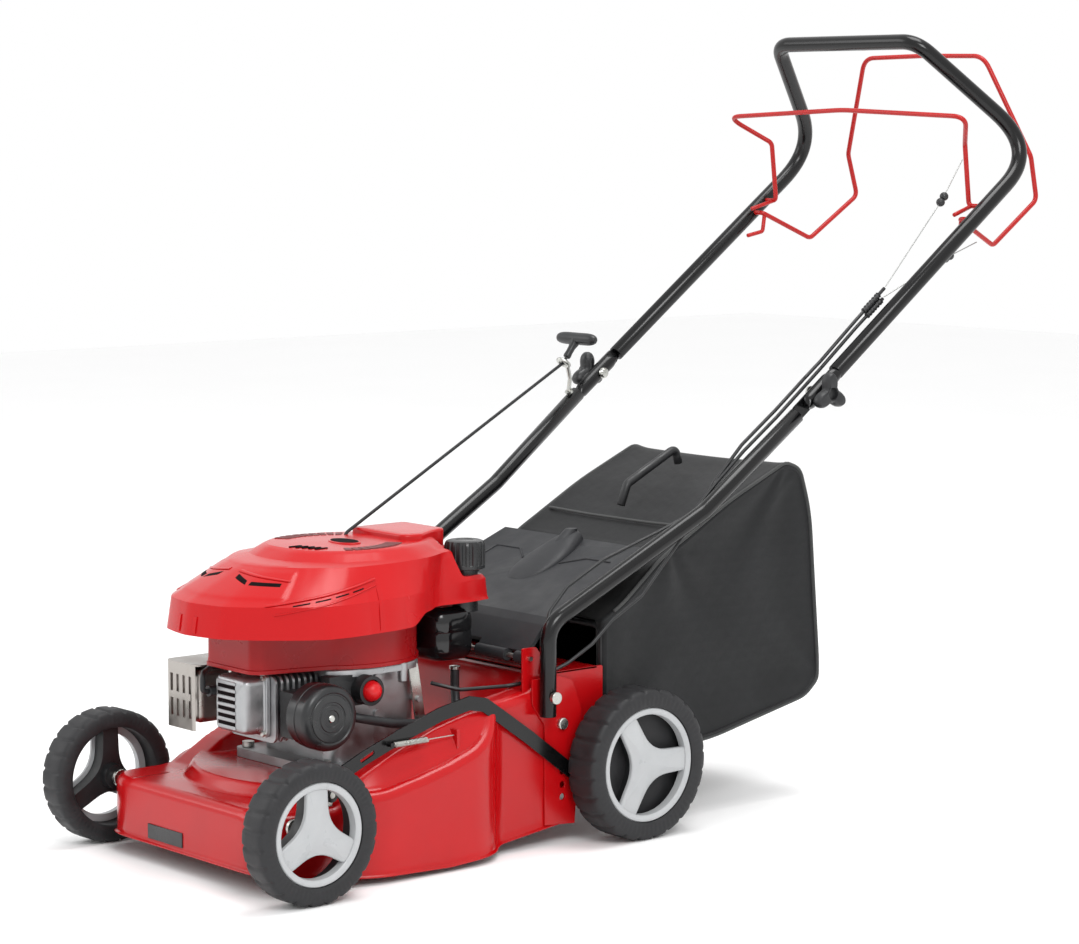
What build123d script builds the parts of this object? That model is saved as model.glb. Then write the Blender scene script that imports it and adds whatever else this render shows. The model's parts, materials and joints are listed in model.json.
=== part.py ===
from build123d import *
import os
from math import atan2, cos, degrees, pi, radians, sin, sqrt

os.makedirs("parts", exist_ok=True)

# A petrol walk-behind rotary mower, in millimetres. +Z is up, -Y is the front and +X is the
# operator's left. The pieces are drawn with the rear axle at Y 0 and the ground at Z 0, and are
# moved when they are saved, so that the origin lies on the ground under the middle of the machine.

# Driving dimensions
WHEELBASE = 541.3
FRONT_R = 87.5
FRONT_WIDTH = 47.0
FRONT_INNER_X = 202.6
REAR_R = 100.0
REAR_WIDTH = 55.4
REAR_INNER_X = 182.4
SHEET = 2.0
TUBE_R = 11.0
TUBE_WALL = 1.5
BAIL_R = 3.5
CABLE_R = 2.5
RUN = 0.06

# Height adjustment: two cranks of the same length, turned opposite ways by one long link
CRANK = 49.0
CRANK_REST = 20.0
LEVER = 50.0
LEVER_REST = 25.0
FRONT_AXLE = (-WHEELBASE, FRONT_R)
REAR_AXLE = (0.0, REAR_R)
FRONT_PIVOT = (
    FRONT_AXLE[0] + CRANK * cos(radians(CRANK_REST)),
    FRONT_AXLE[1] - CRANK * sin(radians(CRANK_REST)),
)
REAR_PIVOT = (
    REAR_AXLE[0] - CRANK * cos(radians(CRANK_REST)),
    REAR_AXLE[1] - CRANK * sin(radians(CRANK_REST)),
)
LEVER_Y = LEVER * sin(radians(LEVER_REST))
LEVER_Z = LEVER * cos(radians(LEVER_REST))
FRONT_PIN = (FRONT_PIVOT[0] + LEVER_Y, FRONT_PIVOT[1] + LEVER_Z)
REAR_PIN = (REAR_PIVOT[0] + LEVER_Y, REAR_PIVOT[1] - LEVER_Z)
LINK_X = (177.5, 180.5)

# Deck
FLAP_HINGE = (-146.0, 248.0)
ENGINE_BOLTS = [(x, y) for x in (-84, 84) for y in (-415, -252)]
BRACKET_BOLTS = [(-133, 200), (-100, 159)]
DECK_FRONT_Y = -574.0
DECK_REAR_Y = -104.0
PLATFORM_Z = 118.0
CRANK_Y = -335.0
DOME_R = 195.0
WALL_X = 172.0

# Handle: the fold pivot, the upper bend and the top corner of the left leg
FOLD = (226.5, 311.0, 572.0)
BEND = (226.0, 752.0, 897.0)
TOP_CORNER = (140.0, 588.0, 1050.0)
STOP_PIVOT = (642.0, 818.0)
DRIVE_PIVOT = (618.0, 800.0)

# Gears of the wheel drive
MODULE = 2.0
PINION_TEETH = 11
RING_TEETH = 60

written = {}


def keep(name, *shapes):
    """Collects a node; it is written at the end, when the length of the whole is known."""
    written[name] = Compound([solid for shape in shapes for solid in shape.solids()])


def rod(start, end, radius):
    line = Vector(*end) - Vector(*start)
    return extrude(Plane(origin=start, z_dir=line) * Circle(radius), amount=line.length)


def bar_x(y, z, radius, x0, x1):
    return rod((x0, y, z), (x1, y, z), radius)


def bar_z(x, y, radius, z0, z1):
    return rod((x, y, z0), (x, y, z1), radius)


def side_plane(x):
    return Plane(origin=(x, 0, 0), x_dir=(0, 1, 0), z_dir=(1, 0, 0))


def side_prism(points, x0, x1):
    """A prism along X whose outline is given as (y, z) points."""
    face = side_plane(x0) * Polygon(*points, align=None)
    return extrude(face, amount=x1 - x0, dir=(1, 0, 0))


def top_prism(face, z0, z1):
    return extrude(Pos(0, 0, z0) * face, amount=z1 - z0, dir=(0, 0, 1))


def block(x0, x1, y0, y1, z0, z1):
    return Pos((x0 + x1) / 2, (y0 + y1) / 2, (z0 + z1) / 2) * Box(x1 - x0, y1 - y0, z1 - z0)


def strap(points, width, x0, x1):
    """A flat bar with round ends along (y, z) points, standing in a plane of constant X."""
    face = Sketch()
    for a, b in zip(points, points[1:]):
        length = sqrt((b[0] - a[0]) ** 2 + (b[1] - a[1]) ** 2)
        angle = degrees(atan2(b[1] - a[1], b[0] - a[0]))
        middle = ((a[0] + b[0]) / 2, (a[1] + b[1]) / 2)
        face += Pos(*middle) * Rot(0, 0, angle) * SlotCenterToCenter(length, width)
    return extrude(side_plane(x0) * face, amount=x1 - x0, dir=(1, 0, 0))


def bent(points, radii, radius, inner=0):
    """Round bar or tube along straight runs joined by arcs, one radius for each corner."""
    path = FilletPolyline(*points, radius=radii) if radii else Line(*points)
    start = Plane(origin=path @ 0, z_dir=path % 0)
    shape = sweep(start * Circle(radius), path=path)
    if inner:
        shape -= sweep(start * Circle(inner), path=path)
    return shape


def other_side(shape):
    return mirror(shape, about=Plane.YZ)


def both(shape):
    return [shape, other_side(shape)]


def along(a, b, distance):
    """The point at a distance from a towards b."""
    line = (Vector(*b) - Vector(*a)).normalized()
    return tuple(Vector(*a) + line * distance)


# ---------------------------------------------------------------- deck
def deck_plan(inset):
    half = [
        (0, DECK_FRONT_Y),
        (150, DECK_FRONT_Y),
        (188, -552),
        (188, -455),
        (205, -425),
        (205, -240),
        (WALL_X, -215),
        (WALL_X, DECK_REAR_Y),
    ]
    outline = half + [(-x, y) for x, y in reversed(half) if x]
    face = Polygon(*outline, align=None)
    corners = [v for v in face.vertices() if v.Y < -120]
    face = fillet(corners, 12)
    if inset:
        face = offset(face, -inset)
    return face


def moved_in(points, inset):
    """Profile points moved back and down, which insets faces that look forwards and up."""
    return [(y + 0.8 * inset, z - 1.1 * inset) for y, z in points]


def deck_form(inset):
    """The outer form of the pressed deck, or with an inset the space inside it."""
    back = DECK_REAR_Y + 8 * inset
    low_top = [
        (-574, 60),
        (-570, 80),
        (-556, 94),
        (-530, 100),
        (-440, 102),
        (-353, 113),
        (-306, 123),
        (-265, 139),
        (-235, 146),
    ]
    high_top = [
        (-470, 90),
        (-454, 112),
        (-424, 130),
        (-369, 155),
        (-305, 178),
        (-257, 190),
        (-208, 198),
        (-150, 205),
        (-128, 222),
    ]
    pocket_top = [(-240, PLATFORM_Z), (-185, 156), (-150, 198), (-128, 222)]
    low_points = [(-620, -60), (-620, 60 - inset)] + moved_in(low_top, inset)
    low_points += [(back, 146 - inset), (back, -60)]
    form = top_prism(deck_plan(inset), -60, 300) & side_prism(low_points, -250, 250)
    if inset:
        form += block(-WALL_X + inset, WALL_X - inset, -150, back, -60, 146 - inset)
    high_points = [(-470, 60)] + moved_in(high_top, inset) + [(back, 226 - inset), (back, 60)]
    high = side_prism(high_points, -WALL_X + inset, WALL_X - inset)
    pocket_points = [(-500, PLATFORM_Z - 1.1 * inset)] + moved_in(pocket_top, inset)
    pocket_points += [(-128, 330), (-500, 330)]
    pocket = side_prism(pocket_points, -122 - inset, 122 + inset)
    dome = bar_z(0, CRANK_Y, DOME_R - inset, 60, PLATFORM_Z - 1.1 * inset)
    return form + high - pocket + dome


def below_deck(rise):
    """Everything under the deck's lower edge, raised by the amount given."""
    edge = [(-640, 31), (-574, 27), (-480, 12), (-310, 7), (-220, 12), (-104, 27), (0, 40)]
    points = [(-640, -90)] + [(y, z + rise) for y, z in edge] + [(0, -90)]
    return side_prism(points, -260, 260)


def discharge_side():
    """Plate beside the discharge tunnel: it carries the rear axle and the flap's hinge."""
    points = [(-120, 34), (-92, 70), (-30, 70), (-20, 100), (-20, 226), (-108, 226)]
    points += [(-134, 262), (-157, 262), (-157, 192), (-120, 192)]
    plate = side_prism(points, 161, 164)
    plate -= bar_x(*REAR_PIVOT, 10 + RUN, 150, 170)
    plate -= bar_x(*FLAP_HINGE, 3.05, 150, 170)
    return plate


def build_deck():
    shell = deck_form(0) - deck_form(SHEET)
    shell -= below_deck(0)
    lip = top_prism(offset(deck_plan(0), 4) - deck_plan(SHEET), -20, 60)
    lip &= below_deck(2.5) - below_deck(0)
    lip -= block(-260, 260, -180, 0, -60, 80)
    shell += lip
    for plate in both(discharge_side()):
        shell += plate
    roof = side_prism([(-110, 222), (-110, 225), (-30, 226), (-30, 223)], -164, 164)
    ramp = side_prism([(-104, 60), (-21, 119), (-21, 121.5), (-104, 62.5)], -161, 161)
    ramp -= block(26, 94, -110, -38, 40, 140)
    rear_wall = block(-164, 164, -106, -104, 30, 62)
    rear_wall -= block(22, 94, -110, -100, 44, 70)
    shell += roof + ramp + rear_wall
    for cheek in both(block(160, 172, -106, -104, 27, 224)):
        shell += cheek
    shell -= bar_z(0, CRANK_Y, 14, 90, 130)
    shell -= bar_x(*FRONT_PIVOT, 7, -210, 210)
    shell -= block(169.5, 178.5, -525, -465, 85, 116)
    shell += block(171, 190, -286, -281, 160, 176)
    for x, y in ENGINE_BOLTS:
        shell -= bar_z(x, y, 4.1, 100, 130)
    for y, z in BRACKET_BOLTS:
        shell -= bar_x(y, z, 4.1, -180, 180)
    return shell


deck = build_deck()
keep("deck", deck)


def build_brackets():
    """Plates riveted to the deck's sides; the handle is bolted to them."""
    points = [(-129, 28), (-78, 24), (-70, 120), (-66, 174), (-82, 214), (-104, 222), (-150, 222)]
    points += [(-150, 190), (-129, 160)]
    plate = side_prism(points, 172.2, 175.2)
    plate -= bar_x(*REAR_PIVOT, 16, 160, 180)
    for z in (62, 78, 96):
        plate -= bar_x(-99, z, 4.5, 160, 180)
    for y, z in BRACKET_BOLTS:
        plate -= bar_x(y, z, 4.1, 160, 180)
    return plate


bracket = build_brackets()
keep("rear_brackets", *both(bracket))

bearing = block(150, 158, FRONT_PIVOT[0] - 14, FRONT_PIVOT[0] + 14, 58, 95)
bearing -= bar_x(*FRONT_PIVOT, 6 + RUN, 140, 170)
keep("axle_bearings", *both(bearing))

badge = block(-78, 0, DECK_FRONT_Y - 1.5, DECK_FRONT_Y, 33, 52)
keep("blank_badge", badge)

# ---------------------------------------------------------------- running gear
TREAD_GROOVES = 24


def wheel_ring(radius, inner, width):
    """Tyre ring of a moulded wheel in its own frame: X 0 is the inner face, the axle is X."""
    ring = bar_x(0, 0, radius, 0, width) - bar_x(0, 0, inner, -1, width + 1)
    for i in range(TREAD_GROOVES):
        angle = 360 * (i + 0.5) / TREAD_GROOVES
        groove = Pos(width / 2, 0, radius) * Box(width + 2, 5, 6)
        ring -= Rot(angle, 0, 0) * groove
    return ring


def star(hub_r, reach, width, x0, x1, first):
    """A hub with three arms; first is the angle of one arm from +Y, in degrees."""
    shape = bar_x(0, 0, hub_r, x0, x1)
    for i in range(3):
        arm = block(x0, x1, 0, reach, -width / 2, width / 2)
        shape += Rot(first + 120 * i, 0, 0) * arm
    return shape


def build_front_wheel():
    wheel = wheel_ring(FRONT_R, 64.4, FRONT_WIDTH)
    wheel += star(18, 66, 30, 12, 30, 90) + bar_x(0, 0, 16, 2, 36)
    wheel -= bar_x(0, 0, 6 + RUN, -1, 60)
    cap = bar_x(0, 0, 64.1, 32, 45) - bar_x(0, 0, 54, 30, 50)
    cap += star(22, 56, 24, 37, 46, 90)
    cap -= bar_x(0, 0, 12, 30, 43)
    return wheel, cap


def tooth_ring(teeth, inward):
    """Outline of plain trapezoid teeth with wide play: the drive is a coarse moulded gear."""
    pitch_r = MODULE * teeth / 2
    direction = -1 if inward else 1
    root_r = pitch_r - direction * 1.1 * MODULE
    tip_r = pitch_r + direction * 0.7 * MODULE
    step = 2 * pi / teeth
    points = []
    for i in range(teeth):
        for share, r in ((-0.28, root_r), (-0.12, tip_r), (0.12, tip_r), (0.28, root_r)):
            angle = (i + share) * step
            points.append((r * cos(angle), r * sin(angle)))
    return Polygon(*points, align=None)


def build_rear_wheel():
    wheel = wheel_ring(REAR_R, 77, REAR_WIDTH) + bar_x(0, 0, 78, 25, 29)
    gear = bar_x(0, 0, 68, 3, 26)
    gear -= extrude(side_plane(0) * tooth_ring(RING_TEETH, True), amount=26, dir=(1, 0, 0))
    wheel += gear + bar_x(0, 0, 16, 10, 40)
    wheel -= bar_x(0, 0, 6 + RUN, -1, 60)
    cap = bar_x(0, 0, 75.5, 38, 51) - bar_x(0, 0, 65, 30, 60)
    cap += star(24, 68, 28, 42, 52, 0)
    cap -= bar_x(0, 0, 12, 30, 48)
    return wheel, cap


# Half a tooth's turn puts a gap of the ring over the pinion's tooth
PINION_LINE = degrees(atan2(REAR_PIVOT[1] - REAR_AXLE[1], REAR_PIVOT[0] - REAR_AXLE[0]))
front_pair = build_front_wheel()
rear_pair = build_rear_wheel()
rear_wheel_turn = PINION_LINE + 180 / RING_TEETH
at_front = Pos(FRONT_INNER_X, *FRONT_AXLE)
at_rear = Pos(REAR_INNER_X, *REAR_AXLE)
front_wheel = [at_front * shape for shape in front_pair]
rear_wheel = [at_rear * Rot(rear_wheel_turn, 0, 0) * rear_pair[0], at_rear * rear_pair[1]]
keep("front_left_wheel", *front_wheel)
keep("front_right_wheel", *[other_side(shape) for shape in front_wheel])
keep("rear_left_wheel", *rear_wheel)
keep("rear_right_wheel", *[other_side(shape) for shape in rear_wheel])


def build_front_axle():
    shape = bar_x(*FRONT_PIVOT, 6, -194, 194)
    for arm in both(strap([FRONT_PIVOT, FRONT_AXLE], 22, 191, 196)):
        shape += arm
    for stub in both(bar_x(*FRONT_AXLE, 6, 192, FRONT_INNER_X + 37)):
        shape += stub
    for nut in both(bar_x(*FRONT_AXLE, 9, FRONT_INNER_X + 36.3, FRONT_INNER_X + 42)):
        shape += nut
    shape += strap([FRONT_PIVOT, FRONT_PIN], 16, 172, 176)
    shape += bar_x(*FRONT_PIN, 4, 173, 181.3)
    return shape


def build_rear_axle():
    """Crank plates inside the tunnel's sides, on bushes round the drive shaft, and the lever."""
    tie = (REAR_PIVOT[0] + 38, REAR_PIVOT[1] - 12)
    side = strap([REAR_PIVOT, REAR_AXLE], 24, 152, 156) + strap([REAR_AXLE, tie], 14, 152, 156)
    side += bar_x(*REAR_PIVOT, 10, 152, 176)
    side += bar_x(*REAR_AXLE, 6, 153, REAR_INNER_X + 41)
    side += bar_x(*REAR_AXLE, 9, REAR_INNER_X + 40.3, REAR_INNER_X + 47)
    shape = side + other_side(side) + bar_x(*tie, 5, -154, 154)
    shape += strap([REAR_PIVOT, REAR_PIN], 16, 152, 156)
    shape += bar_x(*REAR_PIN, 4, 153, 181.3)
    shape += bar_x(*REAR_PIVOT, 10, -179, -170)
    shape += strap([REAR_PIVOT, LEVER_TIP], 18, -179, -176.4)
    return shape - bar_x(*REAR_PIVOT, 6 + RUN, -200, 200)


LEVER_TIP = (REAR_PIVOT[0] - 13, REAR_PIVOT[1] + 149)
keep("front_axle", build_front_axle())
keep("rear_axle", build_rear_axle())

knob = bar_x(*LEVER_TIP, 14, -214, -179.2) - bar_x(*LEVER_TIP, 4, -190, -170)
keep("height_knob", knob)

LINK_POINTS = [
    FRONT_PIN,
    (-454, 143),
    (-424, 156),
    (-369, 176),
    (-305, 196),
    (-257, 205),
    (-233, 200),
    (-208, 183),
    (-158, 148),
    (-90, 97),
    (REAR_PIN[0], REAR_PIN[1] + 8),
]


def build_link():
    """Long link between the cranks; its rear pin runs in an upright slot."""
    link = strap(LINK_POINTS, 18, *LINK_X)
    link += strap([LINK_POINTS[-1], (REAR_PIN[0], REAR_PIN[1] - 13)], 20, *LINK_X)
    link -= bar_x(*FRONT_PIN, 4 + RUN, 170, 190)
    link -= strap([REAR_PIN, (REAR_PIN[0], REAR_PIN[1] - 9.6)], 8.7, 170, 190)
    link -= strap([(-428, 154), (-412, 161)], 6, 170, 190)
    return link + bar_x(-388, 169, 3, 178, 190)


keep("height_link", build_link())
keep("link_spring", rod((186, -384, 168), (186, -287, 169), 4))

pinion = extrude(side_plane(184) * tooth_ring(PINION_TEETH, False), amount=12, dir=(1, 0, 0))
shaft = bar_x(0, 0, 6, -196, 196) + pinion + other_side(pinion)
keep("drive_shaft", Pos(0, *REAR_PIVOT) * Rot(PINION_LINE, 0, 0) * shaft)

# ---------------------------------------------------------------- blade and belt drive
PULLEY_R = 22.0
BELT_Z = (51.0, 59.0)
GEARBOX_INPUT = (60.0, -88.0)


def pulley(x, y):
    shape = bar_z(x, y, PULLEY_R + 4, 48, 50) + bar_z(x, y, PULLEY_R, 50, 60)
    return shape + bar_z(x, y, PULLEY_R + 4, 60, 62)


crankshaft = bar_z(0, CRANK_Y, 11, 35, 300) - bar_z(0, CRANK_Y, 6 + RUN, 30, 62)
keep("crankshaft", crankshaft)

adapter = pulley(0, CRANK_Y) + bar_z(0, CRANK_Y, 20, 34, 49)
adapter -= bar_z(0, CRANK_Y, 11.05, 30, 70)
keep("blade_adapter", adapter)

blade = block(-195, 195, CRANK_Y - 24, CRANK_Y + 24, 30, 34)
blade -= bar_z(0, CRANK_Y, 6.1, 20, 40)
for turn in (0, 180):
    lift = side_prism([(8, 30), (8, 34), (20, 46), (24, 46), (24, 42), (12, 30)], 125, 180)
    blade += Pos(0, CRANK_Y, 0) * Rot(0, 0, turn) * lift
keep("blade", blade)

blade_bolt = bar_z(0, CRANK_Y, 6, 22, 60) + bar_z(0, CRANK_Y, 11, 22, 29.9)
keep("blade_bolt", blade_bolt)

gearbox = block(30, 90, -72, -22, 63, 103)
gearbox = fillet(gearbox.edges().filter_by(Axis.X), 6)
gearbox += block(42, 78, -106, -70, 64, 84)
gearbox -= bar_x(*REAR_PIVOT, 6 + RUN, 0, 120)
gearbox -= bar_z(*GEARBOX_INPUT, 6 + RUN, 50, 76)
keep("gearbox", gearbox)
keep("gearbox_pulley", pulley(*GEARBOX_INPUT) + bar_z(*GEARBOX_INPUT, 6, 60, 75))


def build_belt():
    span = Vector(GEARBOX_INPUT[0], GEARBOX_INPUT[1] - CRANK_Y, 0)
    middle = (GEARBOX_INPUT[0] / 2, (GEARBOX_INPUT[1] + CRANK_Y) / 2, 0)
    turn = degrees(atan2(span.Y, span.X))
    inner = PULLEY_R + 0.5
    loop = SlotCenterToCenter(span.length, 2 * inner + 9)
    loop -= SlotCenterToCenter(span.length, 2 * inner)
    return top_prism(Pos(*middle) * Rot(0, 0, turn) * loop, *BELT_Z)


keep("drive_belt", build_belt())

# ---------------------------------------------------------------- engine
base = block(-98, 98, -430, -240, PLATFORM_Z, 130)
base = fillet(base.edges().filter_by(Axis.Z), 14) - bar_z(0, CRANK_Y, 15, 110, 140)
for x, y in ENGINE_BOLTS:
    base -= bar_z(x, y, 4.1, 110, 140)
keep("engine_base", base)

crankcase = block(-80, 80, -400, -262, 130, 248)
crankcase = fillet(crankcase.edges().filter_by(Axis.Z), 22)
crankcase += block(-24, 48, -404, -396, 165, 248)
for z in (140, 186, 232):
    crankcase += bar_x(-330, z, 6, -84, 84)
crankcase -= block(-71, 71, -391, -271, 141, 239)
crankcase += bar_x(-270, 200, 4, 71, 93)
crankcase -= bar_z(0, CRANK_Y, 11 + RUN, 120, 260)
keep("crankcase", crankcase)


def build_cylinder():
    shape = rod((12, -404, 208), (12, -475, 208), 34)
    for i in range(8):
        y = -408 - 9 * i
        fin = block(-38, 62, y - 3.5, y, 162, 247)
        shape += fillet(fin.edges().filter_by(Axis.Y), 10)
    return shape - rod((-26, -479, 222), (-26, -462, 222), 6.1)


keep("cylinder", build_cylinder())

rocker = block(-28, 52, -511, -475.2, 168, 250)
rocker = fillet(rocker.edges().filter_by(Axis.Y), 10)
rocker = fillet(rocker.faces().sort_by(Axis.Y)[0].edges(), 5)
for i in range(6):
    z = 181 + 11 * i
    rocker -= block(-14, 38, -514, -508.5, z, z + 4.5)
rocker -= rod((-26, -520, 222), (-26, -470, 222), 8)
keep("rocker_cover", rocker)

plug = rod((-26, -466, 222), (-26, -490, 222), 6)
keep("spark_plug", plug + rod((-26, -490.0, 222), (-26, -516, 222), 7))
lead_points = [(-26, -516.2, 222), (-26, -524, 222), (-26, -524, 246), (-58, -490, 246)]
lead_points += [(-58, -420, 246)]
keep("spark_lead", bent(lead_points, [5, 9, 14], 3.5))

muffler = fillet(block(-142, -84, -492, -410, 168, 238).edges(), 10)
muffler += rod((-90, -430, 205), (-42, -430, 205), 9)
keep("muffler", muffler)

guard = block(-150, -76, -500, -402, 160, 246)
guard = fillet(guard.edges().filter_by(Axis.Z), 12)
guard -= block(-148, -70, -498, -395, 150, 244)
for i in range(6):
    y = -488 + 14 * i
    guard -= block(-160, -140, y, y + 6, 175, 230)
for i in range(4):
    x = -136 + 14 * i
    guard -= block(x, x + 6, -510, -490, 175, 230)
guard += block(-84, -76, -408, -402, 160, 246)
keep("muffler_guard", guard)

carburettor = block(66, 100, -470, -418, 172, 230)
carburettor += block(80.3, 99.5, -418, -352, 205, 245)
carburettor += bar_x(-366, 225, 19, 96, 119)
carburettor -= bar_x(-366, 225, 14.4, 102, 125)
keep("carburettor", carburettor)
keep("primer_bulb", fillet(bar_x(-366, 225, 14, 110.5, 131).edges().group_by(Axis.X)[-1], 6))

FILTER = (-445, 202)
keep("air_filter_base", bar_x(*FILTER, 41, 100.2, 112) + bar_x(*FILTER, 3, 110, 141))
keep("air_filter_element", bar_x(*FILTER, 33, 112.2, 134) - bar_x(*FILTER, 18, 112, 135))
filter_cover = fillet(bar_x(*FILTER, 42, 112.3, 142).edges().group_by(Axis.X)[-1], 5)
filter_cover -= bar_x(*FILTER, 38, 110, 138) + bar_x(*FILTER, 3.2, 130, 150)
keep("air_filter_cover", filter_cover)

brake_lever = strap([(-277, 241), (-270, 200), (-263, 152)], 15, 86.5, 89.5)
brake_lever -= bar_x(-270, 200, 4 + RUN, 80, 95)
keep("brake_lever", brake_lever)

flywheel = bar_z(0, CRANK_Y, 88, 262, 276) + bar_z(0, CRANK_Y, 20, 255, 292)
for i in range(12):
    vane = block(48, 86, -1.5, 1.5, 275, 293)
    flywheel += Pos(0, CRANK_Y, 0) * Rot(0, 0, 30 * i) * vane
flywheel -= bar_z(0, CRANK_Y, 11.05, 250, 310)
keep("flywheel", flywheel)


def half_and_half(half, z, scale=1.0):
    """A closed face at height Z from the points of its left half, shrunk about the crank."""
    points = half + [(-x, y) for x, y in reversed(half) if x]
    moved = [(x * scale, CRANK_Y + (y - CRANK_Y) * scale) for x, y in points]
    return Pos(0, 0, z) * Polygon(*moved, align=None)


COVER_FOOT = [(0, -569), (60, -556), (105, -516), (149, -455), (148, -375), (136, -311)]
COVER_FOOT += [(120, -280), (85, -235), (78, -138), (0, -136)]
COVER_SHOULDER = [(0, -562), (60, -549), (104, -508), (143, -453), (143, -375), (132, -311)]
COVER_SHOULDER += [(117, -278), (83, -235), (75, -141), (0, -139)]
COVER_BROW = [(0, -478), (46, -468), (80, -444), (112, -405), (118, -355), (114, -305)]
COVER_BROW += [(103, -262), (78, -218), (62, -172), (0, -168)]
COVER_CROWN = [(0, -392), (22, -388), (42, -378), (58, -356), (64, -330), (60, -300)]
COVER_CROWN += [(50, -270), (38, -240), (26, -208), (0, -202)]
CAP_CENTRE = (55.0, -165.0)


def cover_form(scale, drop):
    skirt = loft([half_and_half(COVER_FOOT, 303 - drop, scale),
                  half_and_half(COVER_SHOULDER, 346 - drop, scale)], ruled=True)
    slope = loft([half_and_half(COVER_SHOULDER, 346 - drop, scale),
                  half_and_half(COVER_BROW, 389 - drop, scale)], ruled=True)
    crown = loft([half_and_half(COVER_BROW, 389 - drop, scale),
                  half_and_half(COVER_CROWN, 411 - drop, scale)], ruled=True)
    return skirt + slope + crown


def build_cover():
    """Moulded cover over the fan and the starter, hollow, with a well for the fuel cap."""
    cover = cover_form(1.0, 0)
    cover -= bar_z(*CAP_CENTRE, 33, 350, 420)
    inside = cover_form(0.97, 3)
    inside -= bar_z(*CAP_CENTRE, 36, 347, 420)
    cover -= inside
    cover -= bar_z(*CAP_CENTRE, 22, 300, 360)
    cover += bar_z(0, CRANK_Y, 8, 305, 409)
    cover -= bent(ROPE_PATH, [8, 12], 4.5)
    for i in range(4):
        y = -370 + 22 * i
        cover -= block(100, 160, y, y + 9, 318, 338)
    for x in (-40, 40):
        cover -= block(x - 24, x + 24, -575, -545, 318, 336)
    return cover


ROPE_EYE = (-222.0, 241.0, 590.0)
ROPE_PATH = [(-45, -322, 316), (-45, -305, 330), (-47, -283, 402), ROPE_EYE]
PULL = (0.0, 0.6, 0.8)
keep("engine_cover", build_cover())

housing = bar_z(0, CRANK_Y, 108, 251, 302.5) - bar_z(0, CRANK_Y, 104, 250, 299.5)
housing -= bar_z(0, CRANK_Y, 46, 290, 310)
housing += block(-62, 62, -505, -436, 252, 302.5) - block(-58, 58, -520, -430, 250, 299.5)
housing -= block(-58, 58, -445, -425, 252, 299.5)
keep("blower_housing", housing)

starter_pulley = bar_z(0, CRANK_Y, 38, 308, 311) + bar_z(0, CRANK_Y, 33, 310, 317)
starter_pulley += bar_z(0, CRANK_Y, 38, 316, 320)
starter_pulley -= bar_z(0, CRANK_Y, 8 + RUN, 300, 330)
keep("starter_pulley", starter_pulley)

tank = fillet(block(-22, 74, -226, -158, 238, 309).edges(), 9)
tank += bar_z(*CAP_CENTRE, 19, 300, 384)
tank -= block(-18, 70, -222, -162, 242, 305) + bar_z(*CAP_CENTRE, 15, 300, 390)
tank += rod((46, -175, 226), (46, -175, 240), 3.5)
keep("fuel_tank", tank)

cap = bar_z(*CAP_CENTRE, 27, 356, 394) - bar_z(*CAP_CENTRE, 19.4, 350, 388)
for i in range(24):
    notch = Pos(*CAP_CENTRE, 0) * Rot(0, 0, 15 * i) * block(25.5, 30, -1.5, 1.5, 364, 396)
    cap -= notch
keep("fuel_cap", cap)

HOSE = [(46, -175, 225.6), (46, -175, 196), (68, -190, 173), (88, -231, 168), (106, -283, 171)]
HOSE += [(116, -333, 179), (112, -377, 190), (100, -400, 196)]
keep("fuel_hose", bent(HOSE, [14, 25, 40, 60, 40, 12], 6))

# ---------------------------------------------------------------- handle
FOLD_LINE = (Vector(*BEND) - Vector(*FOLD)).normalized()


def from_fold(distance):
    return tuple(Vector(*FOLD) + FOLD_LINE * distance)


def half_bar(start, end, x0, x1):
    """The flattened end of a handle tube: one half of the round bar."""
    bar = rod(from_fold(start), from_fold(end), TUBE_R)
    return (bar & block(x0, x1, 0, 600, 300, 900)) - bar_x(FOLD[1], FOLD[2], 4.05, 200, 250)


LOWER = [(187.4, -134, 174), (188, -134, 293), (218, 110, 424)]


def build_lower_handle():
    tube = bent(LOWER + [from_fold(-48)], [40, 60], TUBE_R, TUBE_R - TUBE_WALL)
    tube -= bar_x(-133, 200, 4.1, 150, 230)
    return tube + half_bar(-50, 35, 214, 225.8)


lower_handle = build_lower_handle()
keep("lower_handles", *both(lower_handle))


def build_upper_handle():
    right = [(-x, y, z) for x, y, z in (from_fold(43), BEND, TOP_CORNER)]
    points = [from_fold(43), BEND, TOP_CORNER] + right[::-1]
    tube = bent(points, [70, 40, 40, 70], TUBE_R, TUBE_R - TUBE_WALL)
    for y, z in (STOP_PIVOT, DRIVE_PIVOT):
        for hole in both(bar_x(y, z, BAIL_R + RUN, 190, 229)):
            tube -= hole
    for end in both(half_bar(-30, 45, 226.2, 238)):
        tube += end
    return tube


keep("upper_handle", build_upper_handle())

bolts = []
for x, y in ENGINE_BOLTS:
    bolts.append(bar_z(x, y, 4, 109, 134) + bar_z(x, y, 8, 130, 137) + bar_z(x, y, 7, 108, 115.7))
handle_bolt = bar_x(-133, 200, 4, 166, 204) + bar_x(-133, 200, 8, 199, 205)
dome_bolt = bar_x(-100, 159, 3.9, 164.2, 177) + fillet(
    bar_x(-100, 159, 8, 175.3, 180).edges().group_by(Axis.X)[-1], 2
)
bolts += both(handle_bolt + bar_x(-133, 200, 7, 164.5, 169.9))
bolts += both(dome_bolt)
keep("chassis_bolts", *bolts)


def build_star_knob():
    """Three-lobed knob with its bolt, which turns in both flattened tube ends."""
    bolt = bar_x(0, 0, 4, 210, 250) + bar_x(0, 0, 8, 209, 214.6)
    body = bar_x(0, 0, 17, 240, 258) + bar_x(0, 0, 10, 237.8, 242)
    for i in range(3):
        body += Rot(90 + 120 * i, 0, 0) * bar_x(18, 0, 11, 240, 258)
    body -= bar_x(0, 0, 7, 253, 262)
    return Pos(0, FOLD[1], FOLD[2]) * (bolt + body)


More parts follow.
